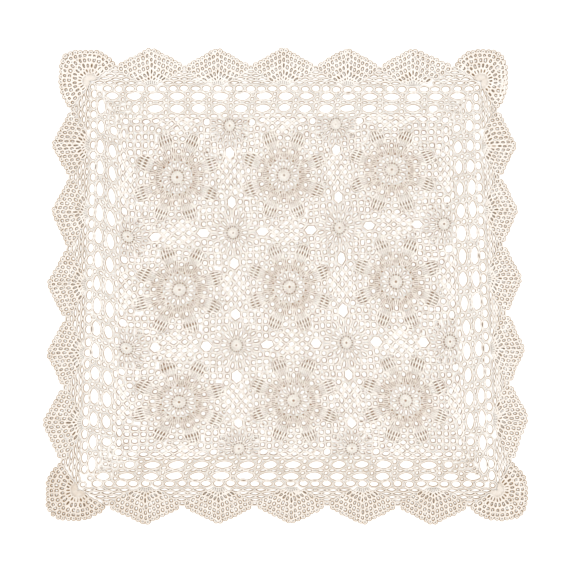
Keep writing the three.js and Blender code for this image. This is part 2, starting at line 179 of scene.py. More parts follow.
class LaidPlan:
    """The even plan laid as the cloth lies, from a lattice of plan lines and where they cross."""

    LINES = np.array([-OVAL_LINE, -FIELD_EDGE, -PITCH, 0.0, PITCH, FIELD_EDGE, OVAL_LINE])
    BORDER_SHARE = (OVAL_LINE - FIELD_EDGE) / (OVAL_LINE - PITCH)
    ROW_DRIFT = (FIELD_EDGE - PITCH) / (2 * PITCH) / 2

    def __init__(self) -> None:
        """Works out the lattice and the slopes once."""
        self.lattice = self._lattice()
        self.slopes = self._slopes()

    def _border(self, line: LinePoints) -> Array:
        """Seven lattice points of a border line, the field's edges mixed in between."""
        start, low, mid, high, end = (np.array(point, float) for point in line)
        first = start + (low - start) * self.BORDER_SHARE
        last = end + (high - end) * self.BORDER_SHARE
        return np.array([start, first, low, mid, high, last, end])

    def _lattice(self) -> Array:
        """Laid points on every crossing of the plan lines.

        The field's edge takes its distance outward from the border and its place along from the
        medallions, with the drift of the rows carried on.

        Returns:
            Array indexed by line along Y, line along X, and coordinate.
        """
        lattice = np.zeros((7, 7, 2))
        lattice[2:5, 2:5] = np.array([list(row) for row in MEDALLION_ROWS], float)
        lattice[0], lattice[6] = self._border(BOTTOM_LINE), self._border(TOP_LINE)
        lattice[:, 0], lattice[:, 6] = self._border(LEFT_LINE), self._border(RIGHT_LINE)
        rows, columns = lattice[:, 2:5], lattice[2:5].swapaxes(0, 1)
        for edge, near, far, rim in ((1, 2, 4, 0), (5, 4, 2, 6)):
            for lines, along, outward in ((rows, 0, 1), (columns, 1, 0)):
                drift = (lines[near] - lines[far])[:, along] * self.ROW_DRIFT
                inward = (lines[near] - lines[rim])[:, outward] * self.BORDER_SHARE
                lines[edge, :, along] = lines[near, :, along] + drift
                lines[edge, :, outward] = lines[rim, :, outward] + inward
            for other, other_near, other_rim in ((1, 2, 0), (5, 4, 6)):
                corner = lattice[rim, other_rim]
                lattice[edge, other] = corner + (lattice[near, other_near] - corner) * self.BORDER_SHARE
        return lattice

    def _slopes(self) -> Array:
        """Weights that give the slope at each line, from the parabola through it and its neighbours.

        Returns:
            A row for each line, with the weight of every line's value in its slope.
        """
        lines, last = self.LINES, len(self.LINES) - 1
        slopes = np.zeros((last + 1, last + 1))
        for end, other in ((0, 1), (last, last - 1)):
            slopes[end, end] = 1 / (lines[end] - lines[other])
            slopes[end, other] = -slopes[end, end]
        middle = np.arange(1, last)
        before, after = lines[middle] - lines[middle - 1], lines[middle + 1] - lines[middle]
        slopes[middle, middle - 1] = -after / (before * (before + after))
        slopes[middle, middle] = (after - before) / (before * after)
        slopes[middle, middle + 1] = before / (after * (before + after))
        return slopes

    def _weights(self, place: Array) -> Array:
        """Share of each plan line in places between lines, by the cubic of two values and two slopes.

        Args:
            place: Places across the lines, N.

        Returns:
            The shares, N by the number of lines.
        """
        k = np.clip(np.searchsorted(self.LINES, place) - 1, 0, len(self.LINES) - 2)
        span = self.LINES[k + 1] - self.LINES[k]
        s = (place - self.LINES[k]) / span
        leave, arrive = span * s * (1 - s) ** 2, span * s**2 * (s - 1)
        weights = leave[:, None] * self.slopes[k] + arrive[:, None] * self.slopes[k + 1]
        rows = np.arange(len(place))
        weights[rows, k] += 1 - s**2 * (3 - 2 * s)
        weights[rows, k + 1] += s**2 * (3 - 2 * s)
        return weights

    def lay(self, points: Array) -> Array:
        """Where points of the plan really lie; beyond the oval line distances are kept as they are.

        Args:
            points: Plan points in millimetres, any shape ending in 2.

        Returns:
            Laid points in millimetres, the same shape.
        """
        flat = points.reshape(-1, 2)
        held = np.clip(flat, -OVAL_LINE, OVAL_LINE)
        across, along = self._weights(held[:, 0]), self._weights(held[:, 1])
        laid = np.einsum("nj,ni,jik->nk", along, across, self.lattice)
        return (laid + flat - held - LAID_CENTRE).reshape(points.shape)


@dataclass(frozen=True)
class Cord:
    """Section of a worked cord in millimetres, and how much more painted shade than most the cord carries.
    """

    width: float
    height: float
    tone: float = 0.0

    @property
    def middle(self) -> float:
        """Height of the cord's middle above the table."""
        return self.height / 2


class SectionCorner(NamedTuple):
    """Corner of a cord's section: sideways and upward shares of its half sizes, and its painted shade,
    which is
    0 on the crown, 2 at a shaded foot and 3 beneath."""

    aside: float
    upward: float
    shade: float


class Profile(Enum):
    """Shapes of a cord's section, six corners from the crown round by its right side, each with its painted
    shade.
    """

    # A post, shaded down both sides
    STRAND = (
        SectionCorner(0.0, 1.0, 0.0),
        SectionCorner(-0.75, 0.68, 0.9),
        SectionCorner(-1.1, -0.6, 2.0),
        SectionCorner(0.0, -1.0, 3.0),
        SectionCorner(1.1, -0.6, 2.0),
        SectionCorner(0.75, 0.68, 0.9),
    )
    # A stitch packed close between others
    SOLID = (
        SectionCorner(0.0, 1.0, 0.0),
        SectionCorner(-0.75, 0.55, 0.5),
        SectionCorner(-1.0, -0.45, 0.95),
        SectionCorner(0.0, -1.0, 3.0),
        SectionCorner(1.0, -0.45, 0.95),
        SectionCorner(0.75, 0.55, 0.5),
    )
    # A chain round a gap on its left, shaded down both sides
    LOOP = (
        SectionCorner(-0.05, 1.0, 0.0),
        SectionCorner(-0.55, 0.85, 0.55),
        SectionCorner(-0.8, -0.3, 2.0),
        SectionCorner(0.0, -1.0, 3.0),
        SectionCorner(1.45, -0.8, 2.0),
        SectionCorner(0.6, 0.75, 0.8),
    )
    # A chain round a small cell on its left, sloping far into it
    CELL = (
        SectionCorner(-0.1, 1.0, 0.0),
        SectionCorner(-0.78, 0.82, 0.55),
        SectionCorner(-0.98, -0.3, 2.0),
        SectionCorner(0.0, -1.0, 3.0),
        SectionCorner(1.75, -0.85, 2.0),
        SectionCorner(0.75, 0.5, 0.85),
    )
    # A picot on the cloth's edge, shaded down its outer side
    EDGE = (
        SectionCorner(0.1, 1.0, 0.0),
        SectionCorner(-0.6, 0.5, 1.0),
        SectionCorner(-1.15, -0.7, 2.0),
        SectionCorner(0.0, -1.0, 3.0),
        SectionCorner(1.0, -0.5, 1.2),
        SectionCorner(0.6, 0.5, 0.3),
    )

    @property
    def section(self) -> Array:
        """Corners of the section, six by 2."""
        return np.array(self.value)[:, :2]

    @property
    def shade(self) -> Array:
        """Shades of the corners."""
        return np.array(self.value)[:, 2]


class Crochet:
    """Cords of one piece, gathered as swept tubes and made into one mesh."""

    SIDES = 6
    STITCH = 2.6
    PLACE_WANDER = 0.35
    SIZE_WANDER = 0.06
    TURN_WANDER = 0.14
    LIFT_WANDER = 0.15
    TONE_WANDER = 1.0

    def __init__(self, plan: LaidPlan, seed: int) -> None:
        """Starts an empty piece.

        Args:
            plan: The plan that the cords are laid by.
            seed: Start of the piece's random draws.
        """
        self.plan = plan
        self.random = np.random.default_rng(seed)
        self.points: list[Array] = []
        self.faces: list[Array] = []
        self.maps: list[Array] = []
        self.tones_and_shades: list[Array] = []
        self.count = 0

    def loops(
        self,
        centres: Array,
        along: Array,
        across: Array,
        outline: Array,
        cord: Cord,
        profile: Profile = Profile.LOOP,
    ) -> None:
        """Works a closed cord round each gap.

        A loop's path is its centre, plus the half length times the outline's first coordinate, plus
        the half width times its second, so that it turns with its gap on the left; the hand's
        unevenness moves, turns and resizes each a little.

        Args:
            centres: Plan centres, P by 2.
            along: Half length vectors, P by 2 or 2.
            across: Half width vectors, P by 2 or 2.
            outline: Unit outline, N by 2.
            cord: Size of the cord.
            profile: Shape of the cord's section.
        """
        count = len(centres)
        centres = centres + self.random.normal(0, self.PLACE_WANDER, (count, 2))
        size = 1 + self.random.normal(0, self.SIZE_WANDER, (count, 2))
        turn = self.random.normal(0, self.TURN_WANDER, (count, 1))
        along = np.broadcast_to(along, (count, 2)) * size[:, :1]
        across = np.broadcast_to(across, (count, 2)) * size[:, 1:]
        along, across = along + across * turn, across - along * turn
        across = across * np.sign(along[:, 0] * across[:, 1] - along[:, 1] * across[:, 0])[:, None]
        path = centres[:, None] + along[:, None] * outline[:, :1] + across[:, None] * outline[:, 1:]
        steps = len(outline)
        self._sweep(path, np.full(steps, cord.middle), np.ones(steps), cord, profile, closed=True)

    def loops_round(
        self,
        centre: Array,
        radius: float | Array,
        angles: Array,
        half: tuple[float, float | Array],
        outline: Array,
        cord: Cord,
        profile: Profile = Profile.LOOP,
    ) -> None:
        """Works loops that point outward round a centre.

        Args:
            centre: Plan centre.
            radius: Distance of the loops, for all or for each.
            angles: Directions of the loops, P.
            half: Half sizes of a loop, aside and outward.
            outline: Unit outline, N by 2.
            cord: Size of the cord.
            profile: Shape of the cord's section.
        """
        along, across = polar(half[0], angles + TURN / 4), polar(half[1], angles)
        self.loops(centre + polar(radius, angles), along, across, outline, cord, profile)

    def ring(self, centre: Array, radius: float, cord: Cord, count: int) -> None:
        """Works a closed round of cord about a centre, with a number of points."""
        path = centre + polar(radius, np.arange(count) * TURN / count)[None]
        self._sweep(path, np.full(count, cord.middle), np.ones(count), cord, Profile.SOLID, closed=True)

    def strands(
        self,
        paths: Array,
        cord: Cord,
        girth: Array | None = None,
        rise: Array | None = None,
        profile: Profile = Profile.STRAND,
    ) -> None:
        """Works open lengths of cord.

        Args:
            paths: Plan paths, P by N by 2.
            cord: Section of the cord.
            girth: Share of the section along the length, N, or none for an even cord.
            rise: Height of the middle above the cord's own along the length, N, or none.
            profile: Shape of the cord's section.
        """
        steps = paths.shape[1]
        girth = np.ones(steps) if girth is None else girth
        rise = np.zeros(steps) if rise is None else rise
        self._sweep(paths, cord.middle + rise, girth, cord, profile, closed=False)

    def _sweep(
        self, paths: Array, heights: Array, girth: Array, cord: Cord, profile: Profile, closed: bool
    ) -> None:
        """Carries the cord's section along laid paths.

        A point of the tube is the path's point, plus the level sideways direction times the half
        width and the section's first coordinate, plus the upward one times the half height and its
        second. The map holds stitches along the cord and the painted shade of the section's corners.

        Args:
            paths: Plan paths, P by N by 2.
            heights: Height of the cord's middle, N.
            girth: Share of the section, N.
            cord: Size of the cord.
            profile: Shape of the cord's section.
            closed: Whether each path ends where it starts.
        """
        section = profile.section
        count, steps = paths.shape[:2]
        laid = self.plan.lay(paths)
        lift = self.random.uniform(0, self.LIFT_WANDER, (count, 1, 1))
        path = np.concatenate([laid, heights[:, None] + np.broadcast_to(lift, (count, steps, 1))], -1)
        if closed:
            ahead = np.roll(path, -1, 1) - np.roll(path, 1, 1)
        else:
            ahead = np.gradient(path, axis=1)
        ahead /= np.linalg.norm(ahead, axis=-1, keepdims=True)
        aside = np.stack([-ahead[..., 1], ahead[..., 0], np.zeros((count, steps))], -1)
        aside /= np.linalg.norm(aside, axis=-1, keepdims=True)
        upward = np.cross(ahead, aside)
        half = girth[:, None, None] / 2
        reach = aside[:, :, None] * section[:, :1] * (half * cord.width)
        reach = reach + upward[:, :, None] * section[:, 1:] * (half * cord.height)
        self.points.append((path[:, :, None] + reach).reshape(-1, 3) * MM)
        # The cord's share of painted shade, with a random unevenness of each cord's colour added
        tone = cord.tone + self.random.uniform(-self.TONE_WANDER, self.TONE_WANDER, (count, 1))
        self.tones_and_shades.append(np.broadcast_to(tone, (count, steps * self.SIDES)).ravel())
        self._skin(path, closed, profile.shade)
        self.count += count * steps * self.SIDES

    def _skin(self, path: Array, closed: bool, shade: Array) -> None:
        """Faces and maps of the tubes just placed, with the ends of open ones closed.

        Args:
            path: Laid paths, P by N by 3.
            closed: Whether each path ends where it starts.
            shade: Shade of the section's corners.
        """
        count, steps = path.shape[:2]
        spans = steps if closed else steps - 1
        stretch = np.linalg.norm(np.roll(path, -1, 1) - path, axis=-1)[:, :spans]
        stitches = np.concatenate([np.zeros((count, 1)), np.cumsum(stretch, 1)], 1) / self.STITCH
        if closed:
            stitches *= (np.maximum(np.round(stitches[:, -1]), 1) / stitches[:, -1])[:, None]
        grid = self.count + np.arange(count * steps * self.SIDES).reshape(count, steps, self.SIDES)
        here = grid[:, :spans]
        there = np.roll(grid, -1, 1)[:, :spans]
        faces = np.stack([here, np.roll(here, -1, 2), np.roll(there, -1, 2), there], -1)
        self.faces.append(faces.reshape(-1, 4))
        start, stop = stitches[:, :spans, None], stitches[:, 1 : spans + 1, None]
        low = np.broadcast_to(shade, (count, spans, self.SIDES))
        high = np.broadcast_to(np.roll(shade, -1), (count, spans, self.SIDES))
        start, stop = np.broadcast_to(start, low.shape), np.broadcast_to(stop, low.shape)
        corners = [(start, low), (start, high), (stop, high), (stop, low)]
        self.maps.append(np.stack([np.stack(corner, -1) for corner in corners], -2).reshape(-1, 4, 2))
        if not closed:
            self._close(grid[:, 0, ::-1])
            self._close(grid[:, -1])

    def _close(self, rims: Array) -> None:
        """Two four-sided faces over each six-sided tube end."""
        faces = np.concatenate([rims[:, [0, 1, 2, 3]], rims[:, [0, 3, 4, 5]]])
        self.faces.append(faces)
        self.maps.append(np.zeros((len(faces), 4, 2)))

    def mesh(self, name: str) -> bpy.types.Mesh:
        """Puts the gathered tubes into one smooth mesh with its map, which carries the painted shade of the
        section's corners, and the attribute of each cord's painted shade and random unevenness.

        Args:
            name: Name of the mesh.

        Returns:
            The mesh, in metres.
        """
        points, faces = np.concatenate(self.points), np.concatenate(self.faces)
        mesh = bpy.data.meshes.new(name)
        mesh.vertices.add(len(points))
        mesh.vertices.foreach_set("co", points.ravel())
        mesh.loops.add(faces.size)
        mesh.loops.foreach_set("vertex_index", faces.ravel().astype(np.int32))
        mesh.polygons.add(len(faces))
        mesh.polygons.foreach_set("loop_start", np.arange(0, faces.size, 4, dtype=np.int32))
        mesh.update(calc_edges=True)
        cord_map = mesh.uv_layers.new(name="cord")
        cord_map.data.foreach_set("uv", np.concatenate(self.maps).ravel())
        tone = mesh.attributes.new("tone", "FLOAT", "POINT")
        tone.data.foreach_set("value", np.concatenate(self.tones_and_shades))
        mesh.shade_smooth()
        return mesh


class Group:
    """A shader node group being built: sockets by name and nodes in order."""

    def __init__(self, name: str) -> None:
        """Makes an empty group with its input and output nodes."""
        self.tree = bpy.data.node_groups.new(name, "ShaderNodeTree")
        self.start = self.tree.nodes.new("NodeGroupInput")
        self.end = self.tree.nodes.new("NodeGroupOutput")

    def socket(self, name: str, kind: str, out: bool = False) -> None:
        """Adds a named input or output of a socket kind."""
        self.tree.interface.new_socket(name=name, in_out="OUTPUT" if out else "INPUT", socket_type=kind)

    def node(self, kind: str, links: dict[int, Socket], **values: object) -> bpy.types.Node:
        """Adds a node, sets its properties and links its inputs.

        Args:
            kind: Blender's node type.
            links: Sockets to link, by input index.
            **values: Properties of the node.

        Returns:
            The node.
        """
        node = self.tree.nodes.new(kind)
        for name, value in values.items():
            setattr(node, name, value)
        for index, socket in links.items():
            self.tree.links.new(socket, node.inputs[index])
        return node

    def math(self, operation: str, first: Socket, second: Socket | float | None = None) -> Socket:
        """Adds a sum of one kind on a socket and a socket or number, and returns its result."""
        node = self.node("ShaderNodeMath", {0: first}, operation=operation)
        if isinstance(second, Socket):
            self.tree.links.new(second, node.inputs[1])
        elif second is not None:
            node.inputs[1].default_value = second
        return node.outputs[0]


@dataclass(frozen=True)
class PlaitRelief:
    """Relief of a chain of stitches on a cord.

    Height is the absolute sine of the stitches along the cord, held back towards the cord's flanks so
    that the stitches form a row of Vs, with the cotton's fibres over it as fine noise.
    """

    slant: float = 0.3
    fibre_scale: float = 2400.0
    fibre_detail: float = 2.0
    fibre_height: float = 0.35

    def group(self) -> bpy.types.NodeTree:
        """Builds the shader group.

        Returns:
            The node group, with the height as its output.
        """
        group = Group("plait_relief")
        group.socket("Cord", "NodeSocketVector")
        group.socket("Object", "NodeSocketVector")
        group.socket("Height", "NodeSocketFloat", out=True)
        place = group.node("ShaderNodeSeparateXYZ", {0: group.start.outputs["Cord"]})
        held_back = group.math("MULTIPLY", place.outputs[1], self.slant)
        phase = group.math("SUBTRACT", place.outputs[0], held_back)
        stitch = group.math("ABSOLUTE", group.math("SINE", group.math("MULTIPLY", phase, np.pi)))
        fibre = group.node("ShaderNodeTexNoise", {0: group.start.outputs["Object"]})
        fibre.inputs["Scale"].default_value = self.fibre_scale
        fibre.inputs["Detail"].default_value = self.fibre_detail
        height = group.math("ADD", stitch, group.math("MULTIPLY", fibre.outputs[0], self.fibre_height))
        group.tree.links.new(height, group.end.inputs["Height"])
        return group.tree


class Patches(NamedTuple):
    """Unevenness over the cloth: the scale of its noise, the value that it counts from, its gain, and the
    gain of a cord's own painted shade and random unevenness."""

    scale: float
    middle: float
    gain: float
    by_cord: float


@dataclass(frozen=True)
class CottonToneAndShade:
    """Colour of worked cotton, with painted shade.

    The mix goes from the clean colour on a cord's crown to the shaded colour, painted shade, at its foot,
    more or less so from patch to patch and cord to cord, with a broad unevenness added to the share, and on
    to a darker painted shade in strands that lie low. The foot is a range of shades, and low one of
    heights in millimetres.
    """

    # Range of the section's shades over which the painted shade at a cord's foot comes in
    foot: tuple[float, float] = (0.4, 1.4)
    # Heights in millimetres below which strands take the darker painted shade
    low: tuple[float, float] = (1.1, 0.6)
    uneven: Patches = Patches(110.0, 0.45, 0.55, 0.06)
    # How strongly the painted shade comes in, from patch to patch and cord to cord
    strength: Patches = Patches(260.0, 0.27, 5.2, 0.1)

    def group(self) -> bpy.types.NodeTree:
        """Builds the shader group.

        Returns:
            The node group, with the colour as its output.
        """
        group = Group("cotton_tone_and_shade")
        group.socket("Object", "NodeSocketVector")
        group.socket("Cord", "NodeSocketVector")
        group.socket("Tone", "NodeSocketFloat")
        for name in ("Clean", "Shaded", "Deep"):
            group.socket(name, "NodeSocketColor")
        group.socket("Color", "NodeSocketColor", out=True)
        start = group.start.outputs
        cord = group.node("ShaderNodeSeparateXYZ", {0: start["Cord"]})
        place = group.node("ShaderNodeSeparateXYZ", {0: start["Object"]})
        strength = self._patches(group, self.strength)
        side = self._ramp(group, cord.outputs[1], *self.foot)
        uneven = self._patches(group, self.uneven)
        # Share of painted shade at the cord's foot, plus the broad unevenness
        share = group.math("ADD", group.math("MULTIPLY", side, strength), uneven)
        upper = self._mix(group, share, start["Clean"], start["Shaded"])
        # Strands that lie low are mixed on to a darker painted shade
        low = self._ramp(group, place.outputs[2], *(height * MM for height in self.low))
        mixed = self._mix(group, group.math("MULTIPLY", low, strength), upper, start["Deep"])
        group.tree.links.new(mixed, group.end.inputs["Color"])
        return group.tree

    def _mix(self, group: Group, share: Socket, first: Socket, second: Socket) -> Socket:
        """Mix of two colours by the share of the second."""
        return group.node("ShaderNodeMix", {0: share, 6: first, 7: second}, data_type="RGBA").outputs[2]

    def _patches(self, group: Group, patches: Patches) -> Socket:
        """Noise less its middle, times its gain, plus the cord's own painted shade and random unevenness
        times another.
        """
        noise = group.node("ShaderNodeTexNoise", {0: group.start.outputs["Object"]})
        noise.inputs["Scale"].default_value = patches.scale
        change = group.math("SUBTRACT", noise.outputs[0], patches.middle)
        own = group.math("MULTIPLY", group.start.outputs["Tone"], patches.by_cord)
        return group.math("ADD", group.math("MULTIPLY", change, patches.gain), own)

    def _ramp(self, group: Group, value: Socket, first: float, last: float) -> Socket:
        """Smooth step of a value, from 0 at the first end of a range to 1 at the last."""
        ramp = group.node("ShaderNodeMapRange", {0: value}, interpolation_type="SMOOTHSTEP")
        ramp.inputs["From Min"].default_value = first
        ramp.inputs["From Max"].default_value = last
        return ramp.outputs[0]


@dataclass(frozen=True)
class CottonFinish:
    """Finish of one kind of piece: a slot of the record, its clean colour and two colours of painted shade,
    its sheen and its relief.
    """

    slot: str
    clean: tuple[float, float, float]
    # Colour of painted shade at a cord's foot
    shaded: tuple[float, float, float]
    # Darker colour of painted shade for strands that lie low
    deep: tuple[float, float, float]
    roughness: float = 0.9
    specular: float = 0.1
    sheen: float = 0.12
    sheen_tint: tuple[float, float, float] = (0.95, 0.8, 0.62)
    relief: float = 0.35
    relief_depth: float = 0.4

    def material(self, relief: bpy.types.NodeTree, tone: bpy.types.NodeTree) -> bpy.types.Material:
        """Makes the cotton material of the slot.

        Args:
            relief: Group that gives the stitches' height.
            tone: Group that gives the cotton's colour.

        Returns:
            The material.
        """
        material = bpy.data.materials.new(f"{self.slot}_thread")
        material.use_nodes = True
        nodes, links = material.node_tree.nodes, material.node_tree.links
        shader = nodes["Principled BSDF"]
        shader.inputs["Roughness"].default_value = self.roughness
        shader.inputs["Specular IOR Level"].default_value = self.specular
        shader.inputs["Sheen Weight"].default_value = self.sheen
        shader.inputs["Sheen Tint"].default_value = (*self.sheen_tint, 1)
        place = nodes.new("ShaderNodeTexCoord")
        cord = nodes.new("ShaderNodeUVMap")
        cord.uv_map = "cord"
        cord_shade_and_tone = nodes.new("ShaderNodeAttribute")
        cord_shade_and_tone.attribute_name = "tone"
        colour = nodes.new("ShaderNodeGroup")
        colour.node_tree = tone
        for name, value in (("Clean", self.clean), ("Shaded", self.shaded), ("Deep", self.deep)):
            colour.inputs[name].default_value = (*value, 1)
        height = nodes.new("ShaderNodeGroup")
        height.node_tree = relief
        for group in (colour, height):
            links.new(place.outputs["Object"], group.inputs["Object"])
            links.new(cord.outputs["UV"], group.inputs["Cord"])
        links.new(cord_shade_and_tone.outputs["Fac"], colour.inputs["Tone"])
        links.new(colour.outputs["Color"], shader.inputs["Base Color"])
        bump = nodes.new("ShaderNodeBump")
        bump.inputs["Strength"].default_value = self.relief
        bump.inputs["Distance"].default_value = self.relief_depth * MM
        links.new(height.outputs["Height"], bump.inputs["Height"])
        links.new(bump.outputs["Normal"], shader.inputs["Normal"])
        return material


class Side(Enum):
    """Sides of the cloth."""

    TOP = "top"
    LEFT = "left"
    BOTTOM = "bottom"
    RIGHT = "right"

    @property
    def along(self) -> Array:
        """Direction along the side, to the right or upward."""
        return np.array([1.0, 0.0]) if self in (Side.TOP, Side.BOTTOM) else np.array([0.0, 1.0])

    @property
    def outward(self) -> Array:
        """Direction out of the cloth."""
        return {
            Side.TOP: np.array([0.0, 1.0]),
            Side.LEFT: np.array([-1.0, 0.0]),
            Side.BOTTOM: np.array([0.0, -1.0]),
            Side.RIGHT: np.array([1.0, 0.0]),
        }[self]

    @property
    def first_sign(self) -> int:
        """Which end comes first, as a turn of the cloth carries the top side's left end round."""
        return -1 if self in (Side.TOP, Side.LEFT) else 1

    def plan(self, along: float | Array, outward: float | Array) -> Array:
        """Plan point at a place along the side and a distance outward of the oval line."""
        along, outward = np.broadcast_arrays(np.asarray(along, float), np.asarray(outward, float))
        return along[..., None] * self.along + (OVAL_LINE + outward)[..., None] * self.outward


class Corner(Enum):
    """Corners of the cloth, by the signs of X and Y."""

    TOP_LEFT = (-1, 1)
    TOP_RIGHT = (1, 1)
    BOTTOM_RIGHT = (1, -1)
    BOTTOM_LEFT = (-1, -1)


class NetCell(NamedTuple):
    """Loop of the net about a medallion: its place outward and aside, half sizes and squareness."""

    out: float
    aside: float
    half_out: float
    half_aside: float
    squareness: float


class PetalCourse(NamedTuple):
    """Course of a petal: its stitches, their pitch, and whether they are packed close or stand open."""

    stitches: int
    pitch: float
    solid: bool


class PetalBar(NamedTuple):
    """Bar across a petal at the end of a course: its half length and how far it bows outward."""

    half: float
    bow: float


class CornerCell(NamedTuple):
    """Square loop of the mesh in a medallion's corner."""

    out: float
    aside: float


class CornerKind(Enum):
    """What stands in a medallion's corner, with the mesh that fills the corner up to it."""

    WHEEL = (
        CornerCell(41.5, 32.5),
        CornerCell(50.0, 32.6),
        CornerCell(58.8, 32.0),
        CornerCell(49.4, 40.6),
        CornerCell(58.2, 40.6),
        CornerCell(32.5, 41.5),
        CornerCell(32.6, 50.0),
        CornerCell(32.0, 58.8),
        CornerCell(40.6, 49.4),
        CornerCell(40.6, 58.2),
        CornerCell(40.6, 40.6),
        CornerCell(48.4, 48.4),
    )
    HALF_WHEEL = (
        CornerCell(41.5, 32.5),
        CornerCell(50.0, 31.4),
        CornerCell(58.6, 29.2),
        CornerCell(49.4, 39.2),
        CornerCell(57.4, 37.0),
        CornerCell(32.5, 41.5),
        CornerCell(32.6, 50.0),
        CornerCell(32.4, 58.6),
        CornerCell(40.6, 48.8),
        CornerCell(41.0, 57.0),
        CornerCell(40.6, 40.6),
        CornerCell(48.2, 46.6),
    )
    PLAIN = (
        CornerCell(41.5, 32.5),
        CornerCell(50.4, 32.6),
        CornerCell(59.6, 32.0),
        CornerCell(50.4, 41.4),
        CornerCell(59.8, 41.2),
        CornerCell(59.8, 50.6),
        CornerCell(32.5, 41.5),
        CornerCell(32.6, 50.4),
        CornerCell(32.0, 59.6),
        CornerCell(41.4, 50.4),
        CornerCell(41.2, 59.8),
        CornerCell(50.6, 59.8),
        CornerCell(41.0, 41.0),
        CornerCell(50.4, 50.4),
        CornerCell(60.0, 60.0),
    )


@dataclass(frozen=True)
class Hub:
    """Solid hub of trebles that widen outward, with a ring about its eye, a low dark ring in the eye that
    paints shade into it, and a low dark round outside the hub that paints shade into the gaps there.
    """

    radius: float
    eye_radius: float
    ring_radius: float
    treble_radii: tuple[float, float]
    treble_girth: tuple[float, float, float]
    # Low dark ring that fills the eye with painted shade
    eye: Cord
    ring: Cord
    treble: Cord
    # Low dark round just outside the hub: painted shade in the gaps there
    shade_ring: Cord = Cord(1.6, 0.6)
    shade_ring_gap: float = 1.2
    points: int = 12

    TREBLE_RISE = np.array([0.5, 0.2, 0.0])

    def work(self, crochet: Crochet, centre: Array, angles: Array) -> None:
        """Works the hub about a centre.

        Args:
            crochet: The gathered cords.
            centre: Plan centre.
            angles: Directions of the trebles, P.
        """
        # The low rings in the eye and outside the hub take the darker low colour: painted shade
        crochet.ring(centre, self.eye_radius, self.eye, self.points)
        crochet.ring(centre, self.radius + self.shade_ring_gap, self.shade_ring, 2 * self.points)
        crochet.ring(centre, self.ring_radius, self.ring, self.points)
        trebles = polar(np.array([*self.treble_radii, self.radius]), angles[:, None])
        girth = np.array(self.treble_girth)
        crochet.strands(centre + trebles, self.treble, girth, self.TREBLE_RISE, Profile.SOLID)


